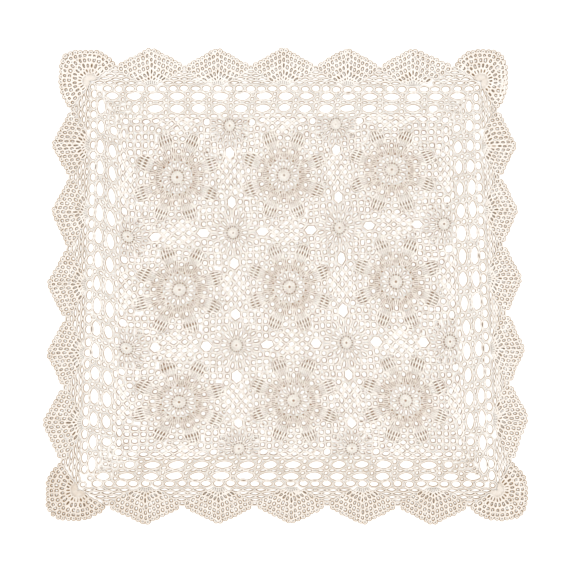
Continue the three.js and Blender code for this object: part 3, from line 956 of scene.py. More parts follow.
@dataclass
class Medallion:
    """Square medallion: hub, spokes, ring of raised clusters, eight petals and the net round them."""

    column: int
    row: int
    turn: float
    stitches: int = 16
    spoke_radius: float = 15.0
    spoke_half: tuple[float, float] = (2.85, 4.4)
    spoke_post: tuple[float, float] = (7.0, 12.5)
    cluster_trebles: int = 4
    cluster_pitch: float = 2.1
    cluster_posts: int = 3
    post_pitch: float = 2.3
    shade_ring_radius: float = 21.6
    shade_ring_points: int = 32
    picot_radius: float = 31.3
    picot_half: tuple[float, float] = (4.0, 4.0)
    petals: int = 8
    petal_out: tuple[float, ...] = (35.8, 41.6, 48.3, 55.0)
    bar_points: int = 6
    course_points: int = 3
    cell_half: float = 4.2
    cell_points: int = 12
    net_fill: float = 1.01
    # The last number of a cord sets how much more or less painted shade than most it carries: less on the
    # net's chains and the ladders' posts, more on the fine cords, the picots and the plump stitches
    chain: Cord = Cord(2.1, 1.6, tone=-1.0)
    picot: Cord = Cord(2.1, 1.6, tone=2.0)
    fine: Cord = Cord(2.1, 1.5, tone=0.8)
    spoke: Cord = Cord(1.7, 1.5)
    post: Cord = Cord(2.4, 1.5, tone=-0.5)
    plump: Cord = Cord(2.2, 1.7, tone=1.2)
    # Low dark strand behind a ladder: painted shade in its slits
    back: Cord = Cord(2.6, 0.4)
    # Low dark round under the slits between the clusters' feet: painted shade in them
    shade_ring: Cord = Cord(3.0, 0.5)

    HUB = Hub(
        radius=7.5,
        eye_radius=0.9,
        ring_radius=2.5,
        treble_radii=(2.8, 5.4),
        treble_girth=(0.45, 0.8, 1.0),
        eye=Cord(1.5, 0.5),
        ring=Cord(2.2, 1.6),
        treble=Cord(2.6, 1.8),
    )
    ROUND_LOOP = loop_outline(12, 2.1)
    MESH_LOOP = loop_outline(12, 2.3)
    CLUSTER_OUT = (19.8, 21.8, 23.8, 26.6, 28.4)
    CLUSTER_SWELL = (0.75, 0.8, 1.3, 1.25, 0.6)
    CLUSTER_RISE = np.array([0.0, 0.3, 0.8, 0.6, 0.0])
    CLUSTER_GIRTH = np.array([0.8, 1.0, 1.0, 1.0, 0.8])
    POST_OUT = (26.6, 30.0, 33.4, 36.6)
    POST_SWELL = (0.5, 0.9, 1.1, 1.0)
    PETAL_COURSES = (
        PetalCourse(7, 2.4, True),
        PetalCourse(4, 3.6, False),
        PetalCourse(4, 3.4, False),
    )
    PETAL_BARS = (PetalBar(8.2, 0.6), PetalBar(8.2, 0.6), PetalBar(6.6, 1.2))
    PETAL_HALF_WIDTHS = (7.6, 8.8, 8.6, 7.0)
    PETAL_SLIT_SHADE = np.array([(0.5, -7.8), (0.8, 0.0), (0.5, 7.8)])
    NET = (
        NetCell(54.0, 5.2, 4.1, 4.9, 1.6),
        NetCell(53.4, 13.2, 2.9, 3.2, 1.9),
        NetCell(59.6, 0.0, 4.6, 5.5, 1.35),
        NetCell(59.8, 12.4, 4.5, 5.3, 1.4),
        NetCell(57.2, 23.6, 4.4, 4.6, 1.8),
        NetCell(64.6, 6.4, 4.6, 5.5, 1.35),
        NetCell(64.6, 19.2, 4.6, 5.4, 1.4),
    )
    SEAM = (NetCell(70.0, 0.0, 4.6, 5.6, 1.35), NetCell(70.0, 13.2, 4.6, 5.6, 1.35))
    EDGE = (
        NetCell(69.4, 0.0, 4.1, 5.8, 1.45),
        NetCell(69.4, 13.2, 4.1, 5.8, 1.45),
        NetCell(68.6, 26.6, 4.3, 6.4, 1.6),
    )
    PLAIN_EDGE = (NetCell(68.4, 40.2, 4.4, 6.6, 1.8), NetCell(68.8, 53.4, 4.4, 6.4, 1.8))
    PLAIN_CORNER = NetCell(68.0, 66.4, 5.0, 6.0, 1.9)
    PAIRS = (NetCell(38.4, 4.4, 3.9, 4.2, 2.0), NetCell(46.3, 4.9, 4.0, 4.6, 1.8))
    SEAM_GAP = NetCell(70.0, 31.4, 6.9, 10.0, 2.0)
    SIDE_SEAM_GAP = NetCell(70.0, 28.2, 6.7, 9.5, 2.0)
    ROUND_GAP = NetCell(66.4, 39.8, 5.6, 6.2, 2.0)

    @property
    def name(self) -> str:
        """Node name, by row and column from the bottom left."""
        return f"medallion_{self.row + 2}_{self.column + 2}"

    @property
    def centre(self) -> Array:
        """Plan centre."""
        return np.array([self.column, self.row]) * PITCH

    def joined(self, quarter: int) -> bool:
        """Tells whether a medallion is joined to the right, top, left or bottom side."""
        return (self.column < 1, self.row < 1, self.column > -1, self.row > -1)[quarter % 4]

    def work(self, plan: LaidPlan, seed: int) -> Crochet:
        """Works every cord of the medallion.

        Args:
            plan: The plan that the cords are laid by.
            seed: Start of the random draws.

        Returns:
            The gathered cords.
        """
        crochet = Crochet(plan, seed)
        self._hub(crochet)
        self._clusters(crochet)
        self._petals(crochet)
        self._net(crochet)
        return crochet

    def _hub(self, crochet: Crochet) -> None:
        """Works the solid hub and the spoke loops round it."""
        step = TURN / self.stitches
        angles = self.turn + np.arange(self.stitches) * step
        self.HUB.work(crochet, self.centre, angles)
        posts = polar(np.array(self.spoke_post), angles[:, None] + step / 2)
        crochet.strands(self.centre + posts, self.fine)
        radius, half = self.spoke_radius, self.spoke_half
        crochet.loops_round(self.centre, radius, angles, half, self.ROUND_LOOP, self.spoke)

    def _clusters(self, crochet: Crochet) -> None:
        """Works the raised clusters of trebles that swell and close, the posts between and the picots."""
        step = TURN / self.stitches
        cluster = bundle(self.CLUSTER_OUT, self.CLUSTER_SWELL, self.cluster_trebles, self.cluster_pitch)
        posts = bundle(self.POST_OUT, self.POST_SWELL, self.cluster_posts, self.post_pitch)
        angles = self.turn + np.arange(self.stitches) * step
        for angle in angles:
            paths = self.centre + facing(cluster, angle)
            crochet.strands(paths, self.plump, self.CLUSTER_GIRTH, self.CLUSTER_RISE)
            crochet.strands(self.centre + facing(posts, angle + step / 2), self.plump)
        radius, half = self.picot_radius, self.picot_half
        crochet.loops_round(self.centre, radius, angles, half, self.ROUND_LOOP, self.picot)
        # A low dark round under the clusters' feet paints shade into the slits between them
        crochet.ring(self.centre, self.shade_ring_radius, self.shade_ring, self.shade_ring_points)

    def _petals(self, crochet: Crochet) -> None:
        """Works eight petals, each a solid bar of trebles with two ladders of posts above it.

        Low dark strands behind the ladders half close their slits and paint shade into them.
        """
        out = self.petal_out
        across, even = np.linspace(-1, 1, self.bar_points), np.ones(self.course_points)
        edges = bundle(out, self.PETAL_HALF_WIDTHS, 2, 2.0)
        slit_shades = np.array([self.PETAL_SLIT_SHADE + ((low + high) / 2, 0.0) for low, high in zip(out[1:], out[2:])])
        for angle in self.turn + (np.arange(self.petals) + 0.5) * TURN / self.petals:
            for start, stop, course in zip(out, out[1:], self.PETAL_COURSES):
                along = np.linspace(start, stop, self.course_points)
                paths = bundle(along, even, course.stitches, course.pitch)
                cord, profile = (self.plump, Profile.SOLID) if course.solid else (self.post, Profile.STRAND)
                crochet.strands(self.centre + facing(paths, angle), cord, profile=profile)
            for reach, bar in zip(out[1:], self.PETAL_BARS):
                path = np.stack([reach + bar.bow * (1 - across**2), bar.half * across], -1)
                crochet.strands(self.centre + facing(path[None], angle), self.fine)
            crochet.strands(self.centre + facing(edges, angle), self.fine)
            # Low dark strands that paint shade into the ladders' slits
            crochet.strands(self.centre + facing(slit_shades, angle), self.back)

    def _cell(
        self, crochet: Crochet, cell: NetCell, angle: float, ends: tuple[int, ...] = (1, -1)
    ) -> None:
        """Works a net loop in the direction of an angle, on one side of the axis or on both.

        Args:
            crochet: The gathered cords.
            cell: Place and size of the loop.
            angle: Direction from the medallion's centre.
            ends: Sides of the axis to work it on, 1 and -1.
        """
        asides = np.array([0.0]) if cell.aside == 0 else np.array(ends) * cell.aside
        points = np.stack([np.full(len(asides), cell.out), asides], -1)
        along = polar(cell.half_aside * self.net_fill, angle + TURN / 4)
        across = polar(cell.half_out * self.net_fill, angle)
        six_sided = cell in (self.SEAM_GAP, self.SIDE_SEAM_GAP)
        outline = HEXAGON_OUTLINE if six_sided else loop_outline(self.cell_points, cell.squareness)
        crochet.loops(self.centre + facing(points, angle), along, across, outline, self.chain)

    def _net(self, crochet: Crochet) -> None:
        """Works the net: pairs between the petals, rows to the sides, and what fills the corners.

        Each seam belongs to the medallion on its left or below, so that its loops are worked once.
        """
        for petal in range(self.petals):
            for cell in self.PAIRS:
                self._cell(crochet, cell, self.turn + petal * TURN / self.petals)
        for quarter in range(4):
            angle = quarter * TURN / 4
            joined, owned = self.joined(quarter), quarter < 2
            row = self.SEAM if joined else self.EDGE
            for cell in self.NET + (row if owned or not joined else ()):
                self._cell(crochet, cell, angle)
            for end in (1, -1):
                end_joined = self.joined(quarter + end)
                if joined and owned:
                    gap = self.SEAM_GAP if end_joined else self.SIDE_SEAM_GAP
                    self._cell(crochet, gap, angle, (end,))
                elif not joined and end_joined:
                    self._cell(crochet, self.ROUND_GAP, angle, (end,))
                elif not joined:
                    for cell in self.PLAIN_EDGE:
                        self._cell(crochet, cell, angle, (end,))
            self._corner(crochet, quarter)

    def _corner(self, crochet: Crochet, quarter: int) -> None:
        """Works the mesh of the corner between a side and the next one round.

        Args:
            crochet: The gathered cords.
            quarter: Number of the side, counted round from the right one.
        """
        first, second = self.joined(quarter), self.joined(quarter + 1)
        if first and second:
            kind = CornerKind.WHEEL
        else:
            kind = CornerKind.HALF_WHEEL if first or second else CornerKind.PLAIN
        places = np.array(kind.value)
        if second and not first:
            places = places[:, ::-1]
        if not first and not second:
            self._cell(crochet, self.PLAIN_CORNER, quarter * TURN / 4, (1,))
        centres = self.centre + facing(places, quarter * TURN / 4)
        across, upward = np.eye(2) * self.cell_half
        crochet.loops(centres, across, upward, self.MESH_LOOP, self.chain)


@dataclass
class JoiningWheel:
    """Small spoked wheel between four medallions, or half of one against the border."""

    name: str
    centre: Array
    scale: float = 1.0
    side: Side | None = None
    spokes: int = 16
    spoke_start: float = 6.2
    spoke_end: float = 12.7
    inner_radius: float = 15.7
    inner_half: float = 2.95
    inner_reach: float = 5.0
    inner_margin: float = 2.0
    outer_radius: float = 25.4
    outer_half: float = 3.0
    outer_reach: float = 4.8
    spoke: Cord = Cord(1.9, 1.7)
    fine: Cord = Cord(1.8, 1.5)
    chain: Cord = Cord(1.9, 1.6)

    HUB = Hub(
        radius=6.6,
        eye_radius=0.6,
        ring_radius=2.1,
        treble_radii=(2.4, 4.4),
        treble_girth=(0.45, 0.75, 1.0),
        eye=Cord(1.4, 0.5),
        ring=Cord(2.0, 1.6),
        treble=Cord(2.3, 1.8),
    )
    LOOP = loop_outline(12, 2.4)
    PAIR = bundle((19.6, 24.6, 29.4), (0.9, 1.3, 1.5), 2, 2.0)

    def _kept(self, points: Array) -> Array:
        """Tells which plan points lie inside the field, for a half wheel."""
        if self.side is None:
            return np.ones(len(points), bool)
        return points @ self.side.outward < FIELD_EDGE

    def work(self, plan: LaidPlan, seed: int) -> Crochet:
        """Works the wheel: hub, spokes with loops between them and an outer round of loops.

        A whole wheel also has pairs of posts in its outer round, but none on the diagonals.

        Args:
            plan: The plan that the cords are laid by.
            seed: Start of the random draws.

        Returns:
            The gathered cords.
        """
        crochet = Crochet(plan, seed)
        scale = self.scale
        angles = np.arange(self.spokes) * TURN / self.spokes
        between = angles + TURN / self.spokes / 2
        self.HUB.work(crochet, self.centre, angles)
        spokes = polar(np.array([self.spoke_start, self.spoke_end * scale]), between[:, None])
        crochet.strands(self.centre + spokes, self.spoke)
        radius, half = self.inner_radius * scale, (self.inner_half * scale, self.inner_reach * scale)
        kept = angles[self._kept(self.centre + polar(radius + self.inner_margin, angles))]
        crochet.loops_round(self.centre, radius, kept, half, self.LOOP, self.fine)
        radius, half = self.outer_radius * scale, (self.outer_half * scale, self.outer_reach * scale)
        kept = between[self._kept(self.centre + polar(radius, between))]
        crochet.loops_round(self.centre, radius, kept, half, self.LOOP, self.chain)
        if self.side is not None:
            return crochet
        diagonal = np.arange(self.spokes) % (self.spokes // 4) == self.spokes // 8
        for angle in angles[~diagonal]:
            pair = self.centre + facing(self.PAIR * scale, angle)
            crochet.strands(pair, self.fine, profile=Profile.SOLID)
        return crochet


class LoopRow(NamedTuple):
    """Row of loops along the border: its distance outward of the oval line, its reach in repeats from the
    side's middle, half sizes, squareness, points round a loop, and half the span of a pair of loops."""

    offset: float
    reach: float
    half_along: float
    half_across: float
    squareness: float
    points: int
    pair: float = 0.0

    @property
    def places(self) -> Array:
        """Places along the side: one a repeat, or a pair about it where that lies within the reach."""
        repeats = np.arange(-self.reach, self.reach + 0.5) * REPEAT
        if self.pair == 0:
            return repeats
        pairs = np.concatenate([repeats - self.pair, repeats + self.pair])
        return pairs[np.abs(pairs) < self.reach * REPEAT]


class FanRow(NamedTuple):
    """Row of cells in a fan: cells each side of the middle one, their pitch, the height of the middle and
    the fall from each to the next, how far the outer ones lean in degrees, and half sizes."""

    reach: int
    pitch: float
    top: float
    fall: float
    lean: float
    half_along: float
    half_across: float


class ValleyRow(NamedTuple):
    """Row of flat arches between two fans: places from the valley's middle, height and half length."""

    places: tuple[float, ...]
    height: float
    half_along: float


FAN_ROWS = (
    FanRow(3, 3.3, 3.2, 1.4, 62.0, 1.75, 2.6),
    FanRow(4, 4.0, 10.2, 2.3, 50.0, 2.05, 3.9),
    FanRow(5, 4.75, 18.2, 2.6, 36.0, 2.45, 3.5),
    FanRow(6, 5.0, 25.8, 2.6, 29.0, 2.6, 3.4),
    FanRow(7, 5.15, 32.8, 2.65, 27.0, 2.65, 3.2),
)
VALLEY_ROWS = (
    ValleyRow((-21.2, -7.1, 7.1, 21.2), -3.0, 6.9),
    ValleyRow((-14.2, 0.0, 14.2), 1.3, 6.9),
    ValleyRow((-7.1, 7.1), 5.7, 6.8),
    ValleyRow((0.0,), 10.2, 6.4),
    ValleyRow((0.0,), 14.6, 4.4),
)


class JoinCell(NamedTuple):
    """Loop at a corner of the border: its place outward and its half size, along each of both axes."""

    across: float
    upward: float
    half_across: float
    half_upward: float


JOIN_CELLS = (
    JoinCell(11.0, 11.0, 4.0, 4.2),
    JoinCell(1.8, 3.0, 3.7, 3.7),
    JoinCell(-6.8, -5.8, 3.4, 3.3),
    JoinCell(-11.6, -10.6, 2.5, 2.5),
    JoinCell(-16.2, -15.2, 3.6, 3.3),
    JoinCell(-20.9, -20.2, 2.5, 2.5),
    JoinCell(-25.8, -24.6, 3.8, 3.8),
)
# Each of these is worked twice, the second time with its axes exchanged
PAIRED_JOIN_CELLS = (
    JoinCell(-22.0, -14.6, 2.6, 2.6),
    JoinCell(-27.4, -14.8, 3.7, 3.9),
    JoinCell(-33.8, -13.4, 3.0, 3.8),
    JoinCell(-44.2, -15.8, 6.8, 6.2),
    JoinCell(-31.6, -22.6, 2.6, 2.6),
    JoinCell(-37.4, -23.8, 4.1, 3.8),
)


@dataclass
class BorderSide:
    """One side of the border: two rows of ovals, a row of arches and five fans."""

    side: Side
    peaks: tuple[float, ...]
    valley: float
    fan_pitch: float
    fan_shift: float
    # Extra painted shade on the fans' cords
    fan_shade: float
    # Extra painted shade on the rows' cords
    row_shade: float = 0.0
    arches_per_fan: int = 6
    arch_reach: int = 17
    arch_overrun: float = 3.0
    arch_offset: float = 9.2
    arch_fill: float = 0.47
    arch_half: float = 4.9
    arch_squareness: float = 1.9
    arch_points: int = 14
    valley_half: float = 3.0
    fan_base: float = 19.9
    fan_trebles: int = 7
    treble_foot: tuple[float, float] = (2.0, -5.6)
    treble_head: tuple[float, float] = (3.2, 1.2)
    lean_fade: float = 1.5
    plan_peak: float = 60.0
    plan_valley: float = 38.5
    plan_pitch: float = 85.0
    edge_loops: int = 14
    edge_top: float = 38.2
    edge_fall: float = 2.92
    edge_pitch: float = 5.45
    edge_half: float = 1.8
    chain: Cord = Cord(1.95, 1.5)
    fine: Cord = Cord(2.1, 1.6)
    edging: Cord = Cord(2.7, 1.5)

    JOIN_LOOP = loop_outline(12, 2.0)
    VALLEY_LOOP = loop_outline(12, 1.55)
    ROWS = (
        LoopRow(0.0, 8.0, 10.9, 6.2, 1.68, 20),
        LoopRow(-15.0, 6.0, 10.6, 6.3, 1.68, 20),
        LoopRow(2.9, 7.5, 3.4, 3.1, 1.9, 10),
        LoopRow(-4.3, 7.5, 3.3, 3.5, 2.0, 10),
        LoopRow(-11.5, 6.5, 3.6, 3.5, 2.0, 10),
        LoopRow(-19.4, 6.5, 3.5, 3.9, 1.9, 10),
        LoopRow(-7.6, 8.0, 4.7, 2.9, 1.8, 10, pair=6.6),
        LoopRow(-23.9, 7.0, 5.4, 3.3, 2.0, 12, pair=7.0),
    )

    @property
    def name(self) -> str:
        """Node name."""
        return f"border_{self.side.value}"

    @property
    def valley_places(self) -> Array:
        """Places of the scallop's valleys along the side, from corner to corner."""
        between = spread(len(self.peaks) - 1, self.fan_pitch) + self.fan_shift
        return np.concatenate([[-CORNER_VALLEY], between, [CORNER_VALLEY]])

    def work(self, plan: LaidPlan, seed: int) -> Crochet:
        """Works the side's loops and fans.

        Args:
            plan: The plan that the cords are laid by.
            seed: Start of the random draws.

        Returns:
            The gathered cords.
        """
        crochet = Crochet(plan, seed)
        for row in self.ROWS:
            self._loops(crochet, row, row.places)
        self._arches(crochet)
        for fan in range(len(self.peaks)):
            self._fan(crochet, fan)
        self._valleys(crochet)
        self._joins(crochet)
        return crochet

    def _arches(self, crochet: Crochet) -> None:
        """Works the row of arches that the fans stand on, spaced by the fans."""
        pitch = self.fan_pitch / self.arches_per_fan
        arch = LoopRow(
            offset=self.arch_offset,
            reach=self.arch_reach,
            half_along=pitch * self.arch_fill,
            half_across=self.arch_half,
            squareness=self.arch_squareness,
            points=self.arch_points,
        )
        places = np.arange(-arch.reach, arch.reach + 1) * pitch + self.fan_shift
        self._loops(crochet, arch, places[np.abs(places) < OVAL_LINE + self.arch_overrun])

    def _loops(self, crochet: Crochet, row: LoopRow, places: Array) -> None:
        """Works a row of loops at places along the side."""
        crochet.loops(
            self.side.plan(places, row.offset),
            self.side.along * row.half_along,
            self.side.outward * row.half_across,
            loop_outline(row.points, row.squareness),
            replace(self.chain, tone=self.row_shade),
        )

    def _fan_point(self, fan: int, along: Array, height: Array | float) -> Array:
        """Plan point of a fan, from places and heights of the even fan.

        Places stretch to the valleys on the fan's two sides, and heights to the side's own peak.

        Args:
            fan: Fan number along the side.
            along: Places from the fan's middle.
            height: Heights above the fan's base.

        Returns:
            Plan points, one for each place.
        """
        valleys = self.valley_places
        centre = (fan - (len(self.peaks) - 1) / 2) * self.fan_pitch + self.fan_shift
        reach = np.where(along < 0, centre - valleys[fan], valleys[fan + 1] - centre)
        stretch = reach / (self.plan_pitch / 2)
        rise = (self.peaks[fan] - self.fan_base) / (self.plan_peak - self.fan_base)
        return self.side.plan(centre + along * stretch, self.fan_base + height * rise)

    def _directed(self, along: Array, outward: Array) -> Array:
        """Plan vectors with given shares along the side and outward."""
        return self.side.along * along[:, None] + self.side.outward * outward[:, None]

    def _fan_shaded(self, cord: Cord) -> Cord:
        """The cord with the fans' extra painted shade."""
        return replace(cord, tone=self.fan_shade)

    def _fan(self, crochet: Crochet, fan: int) -> None:
        """Works one fan: gathered trebles, rows of cells that widen from them, and the edge loops.

        A cell's height is its row's top less the fall for each cell from the middle, and it leans by
        the row's lean times one less the fading exponential of its number.

        Args:
            crochet: The gathered cords.
            fan: Fan number along the side.
        """
        fine, edging = self._fan_shaded(self.fine), self._fan_shaded(self.edging)
        for row in FAN_ROWS:
            cells = np.arange(-row.reach, row.reach + 1)
            centres = self._fan_point(fan, cells * row.pitch, row.top - np.abs(cells) * row.fall)
            size = row.half_along / row.pitch
            rise = (np.abs(cells - 0.5) - np.abs(cells + 0.5)) * row.fall
            along = self._directed(np.full(len(cells), row.pitch) * size, rise * size)
            lean = np.radians(row.lean) * np.sign(cells) * (1 - np.exp(-np.abs(cells) / self.lean_fade))
            across = self._directed(np.sin(lean), np.cos(lean)) * row.half_across
            crochet.loops(centres, along, across, CELL_OUTLINE, fine, Profile.CELL)
        places = spread(self.fan_trebles, 1.0)
        feet = self._fan_point(fan, places * self.treble_foot[0], self.treble_foot[1])
        heads = self._fan_point(fan, places * self.treble_head[0], self.treble_head[1] - np.abs(places))
        crochet.strands(np.stack([feet, heads], 1), fine, profile=Profile.SOLID)
        places = spread(self.edge_loops, 1.0)
        heights = self.edge_top - np.abs(places) * self.edge_fall
        centres = self._fan_point(fan, places * self.edge_pitch, heights)
        slope = -np.sign(places) * self.edge_fall / self.edge_pitch
        along = self._directed(np.ones(self.edge_loops), slope) * self.edge_half
        across = self._directed(-slope, np.ones(self.edge_loops)) * self.edge_half
        crochet.loops(centres, along, across, PICOT_OUTLINE, edging, Profile.EDGE)

    def _valleys(self, crochet: Crochet) -> None:
        """Works the flat arches that fill the valleys between the fans and beside the corner fans."""
        rise = (self.valley - self.fan_base) / (self.plan_valley - self.fan_base)
        for row in VALLEY_ROWS:
            places = (self.valley_places[:, None] + np.array(row.places)).ravel()
            crochet.loops(
                self.side.plan(places, self.fan_base + row.height * rise),
                self.side.along * row.half_along,
                self.side.outward * self.valley_half,
                self.VALLEY_LOOP,
                self._fan_shaded(self.chain),
            )

    def _joins(self, crochet: Crochet) -> None:
        """Works the loops about the oval line's corner at the side's first end."""
        corner = self.side.plan(self.side.first_sign * OVAL_LINE, 0.0)
        paired = np.array(PAIRED_JOIN_CELLS)
        cells = np.concatenate([np.array(JOIN_CELLS), paired, paired[:, [1, 0, 3, 2]]])
        across, upward = np.eye(2)
        crochet.loops(
            corner + np.sign(corner) * cells[:, :2],
            cells[:, 2:3] * across,
            cells[:, 3:] * upward,
            self.JOIN_LOOP,
            replace(self.chain, tone=self.row_shade),
        )


class FanRound(NamedTuple):
    """Round of cells in a corner fan: radius in the even fan, number of cells and half length outward."""

    radius: float
    cells: int
    half_out: float


CORNER_ROUNDS = (
    FanRound(12.9, 12, 3.2),
    FanRound(19.7, 14, 3.6),
    FanRound(26.4, 16, 3.4),
    FanRound(32.0, 20, 2.9),
)


@dataclass
class CornerFan:
    """Blunt fan on a corner of the border, gathered at a point outward of the oval line's corner."""

    corner: Corner
    gather: tuple[float, float]
    wide: float
    tall: float
    squareness: float
    # Extra painted shade on the fan's cords
    tone: float
    before: BorderSide
    after: BorderSide
    plan_reach: float = 39.0
    swell_power: float = 2.5
    ease: float = 3.0
    trebles: int = 18
    treble_overrun: float = 0.04
    treble_radii: tuple[float, ...] = (0.6, 5.0, 9.8)
    # Further painted shade on the fan's solid middle
    treble_shade: float = 3.0
    edge_radius: float = 36.2
    edge_loops: int = 21
    edge_half: tuple[float, float] = (1.9, 1.9)
    measured_points: int = 200
    edging: Cord = Cord(2.7, 1.5)
    fine: Cord = Cord(2.4, 1.6)
    treble: Cord = Cord(2.6, 1.8)

    TREBLE_GIRTH = np.array([0.4, 0.8, 1.0])
    TREBLE_RISE = np.array([0.5, 0.1, 0.0])

    @property
    def name(self) -> str:
        """Node name."""
        return f"corner_fan_{self.corner.name.lower()}"

    @property
    def signs(self) -> Array:
        """Signs of X and Y at the corner."""
        return np.array(self.corner.value, float)

    @property
    def middle(self) -> Array:
        """Plan point at which the fan is gathered."""
        return self.signs * OVAL_LINE + np.array(self.gather)

    def work(self, plan: LaidPlan, seed: int) -> Crochet:
        """Works the fan: a solid middle, rounds of cells about it and the edge loops.

        Args:
            plan: The plan that the cords are laid by.
            seed: Start of the random draws.

        Returns:
            The gathered cords.
        """
        crochet = Crochet(plan, seed)
        start, sweep = self._sweep()
        shares = np.linspace(-self.treble_overrun, 1 + self.treble_overrun, self.trebles)
        trebles = polar(np.array(self.treble_radii), (start + sweep * shares)[:, None])
        treble = replace(self.treble, tone=self.tone + self.treble_shade)
        crochet.strands(self.middle + trebles, treble, self.TREBLE_GIRTH, self.TREBLE_RISE, Profile.SOLID)
        fine, edging = replace(self.fine, tone=self.tone), replace(self.edging, tone=self.tone)
        for fan_round in CORNER_ROUNDS:
            angles, spacing = self._places(fan_round.radius, fan_round.cells)
            radius = self._swelled(angles, fan_round.radius)
            half = (spacing / 2, fan_round.half_out * radius / fan_round.radius)
            crochet.loops_round(self.middle, radius, angles, half, CELL_OUTLINE, fine, Profile.CELL)
        angles, _ = self._places(self.edge_radius, self.edge_loops)
        radius, half = self._swelled(angles, self.edge_radius), self.edge_half
        crochet.loops_round(self.middle, radius, angles, half, PICOT_OUTLINE, edging, Profile.EDGE)
        return crochet

    def _valley(self, border: BorderSide) -> Array:
        """Last valley of a side before the corner, from the point where the fan is gathered."""
        sign = self.signs[0] if border.side in (Side.TOP, Side.BOTTOM) else self.signs[1]
        return border.side.plan(sign * CORNER_VALLEY, border.valley) - self.middle

    def _sweep(self) -> tuple[float, float]:
        """Angle at which the fan starts, and its sweep clockwise to the next side's valley."""
        valleys = [self._valley(border) for border in (self.before, self.after)]
        start, stop = (np.arctan2(away[1], away[0]) for away in valleys)
        return start, -((start - stop) % TURN)

    def _reach(self, angle: Array) -> Array:
        """Reach of the fan's edge.

        Between the axes it is the rounded square in which the shares outward along both axes, over the
        reaches along them and raised to the squareness, add up to one. Past each axis it eases to the
        distance of the last valley of the side there.

        Args:
            angle: Directions from the point where the fan is gathered.

        Returns:
            The reach in each direction.
        """
        outward = polar(1.0, angle) * self.signs
        square = (np.maximum(outward, 0) / np.array([self.wide, self.tall])) ** self.squareness
        reach = square.sum(-1) ** (-1 / self.squareness)
        for border in (self.before, self.after):
            axis = 0 if border.side in (Side.TOP, Side.BOTTOM) else 1
            even = self.tall if axis == 0 else self.wide
            away = self._valley(border) * self.signs
            distance = np.linalg.norm(away)
            share = np.clip(outward[..., axis] * distance / away[axis], 0, 1) ** self.ease
            reach = np.where(outward[..., axis] < 0, even + (distance - even) * share, reach)
        return reach

    def _swelled(self, angle: Array, radius: float) -> Array:
        """Radius of a round in some directions.

        It is the even radius, plus the fan's excess over the even fan times the round's share of the
        even fan raised to a power, so that the outer rounds follow the edge and the inner ones are round.

        Args:
            angle: Directions from the point where the fan is gathered.
            radius: Radius in the even fan.

        Returns:
            The radius in each direction.
        """
        excess = self._reach(angle) - self.plan_reach
        return radius + excess * (radius / self.plan_reach) ** self.swell_power

    def _places(self, radius: float, cells: int) -> tuple[Array, float]:
        """Directions of a round's loops, spaced evenly along it.

        Args:
            radius: Radius in the even fan.
            cells: Number of loops.

        Returns:
            The directions, and the spacing along the round.
        """
        start, sweep = self._sweep()
        angles = start + sweep * np.linspace(0, 1, self.measured_points)
        path = polar(self._swelled(angles, radius), angles)
        length = np.concatenate([[0.0], np.cumsum(np.linalg.norm(np.diff(path, axis=0), axis=1))])
        spacing = length[-1] / cells
        return np.interp((np.arange(cells) + 0.5) * spacing, length, angles), spacing


@dataclass
class Studio:
    """Pale floor, soft light and the camera straight above the cloth."""

    floor_size: float = 4.0
    floor_drop: float = 0.0004
    floor_colour: tuple[float, float, float] = (0.97, 0.965, 0.95)
    floor_roughness: float = 0.9
    lamp_size: float = 3.5
    lamp_power: float = 83.0
    lamp_height: float = 4.0
    lamp_nearer: float = 0.4
    surround: float = 0.96
    lens: float = 100.0
    field: float = 0.72
    aim: tuple[float, float] = (0.00335, -0.00227)

    def build(self) -> None:
        """Makes the floor, the lights and the camera."""
        self._floor()
        self._lights()
        self._camera()
        bpy.context.scene.view_settings.view_transform = "Standard"

    def _floor(self) -> None:
        """Lays a square floor just under the cloth."""
        half = self.floor_size / 2
        mesh = bpy.data.meshes.new("floor")
        corners = [(-half, -half), (half, -half), (half, half), (-half, half)]
        mesh.from_pydata([(x, y, -self.floor_drop) for x, y in corners], [], [(0, 1, 2, 3)])
        material = bpy.data.materials.new("floor_paper")
        material.use_nodes = True
        shader = material.node_tree.nodes["Principled BSDF"]
        shader.inputs["Base Color"].default_value = (*self.floor_colour, 1)
        shader.inputs["Roughness"].default_value = self.floor_roughness
        shader.inputs["Specular IOR Level"].default_value = 0.0
        mesh.materials.append(material)
        floor = bpy.data.objects.new("floor", mesh)
        bpy.context.scene.collection.objects.link(floor)

    def _lights(self) -> None:
        """Hangs one broad soft light above, a little to the near side, and fills with a pale surround."""
        light = bpy.data.lights.new("soft_light", "AREA")
        light.shape = "SQUARE"
        light.size = self.lamp_size
        light.energy = self.lamp_power
        lamp = bpy.data.objects.new("soft_light", light)
        lamp.location = (0.0, -self.lamp_nearer, self.lamp_height)
        lamp.rotation_euler = (np.arctan2(self.lamp_nearer, self.lamp_height), 0.0, 0.0)
        bpy.context.scene.collection.objects.link(lamp)
        world = bpy.data.worlds.new("surround")
        world.use_nodes = True
        background = world.node_tree.nodes["Background"]
        background.inputs["Color"].default_value = (1.0, 1.0, 1.0, 1)
        background.inputs["Strength"].default_value = self.surround
        bpy.context.scene.world = world

    def _camera(self) -> None:
        """Sets the camera above the cloth so that the field fills the frame."""
        camera = bpy.data.cameras.new("camera")
        camera.lens = self.lens
        placed = bpy.data.objects.new("camera", camera)
        height = self.field / 2 / (camera.sensor_width / 2 / self.lens)
        placed.location = (*self.aim, height)
        bpy.context.scene.collection.objects.link(placed)
        bpy.context.scene.camera = placed


# Upward share of a face's normal below which the face belongs to the underside
UNDERSIDE_NORMAL = -0.9


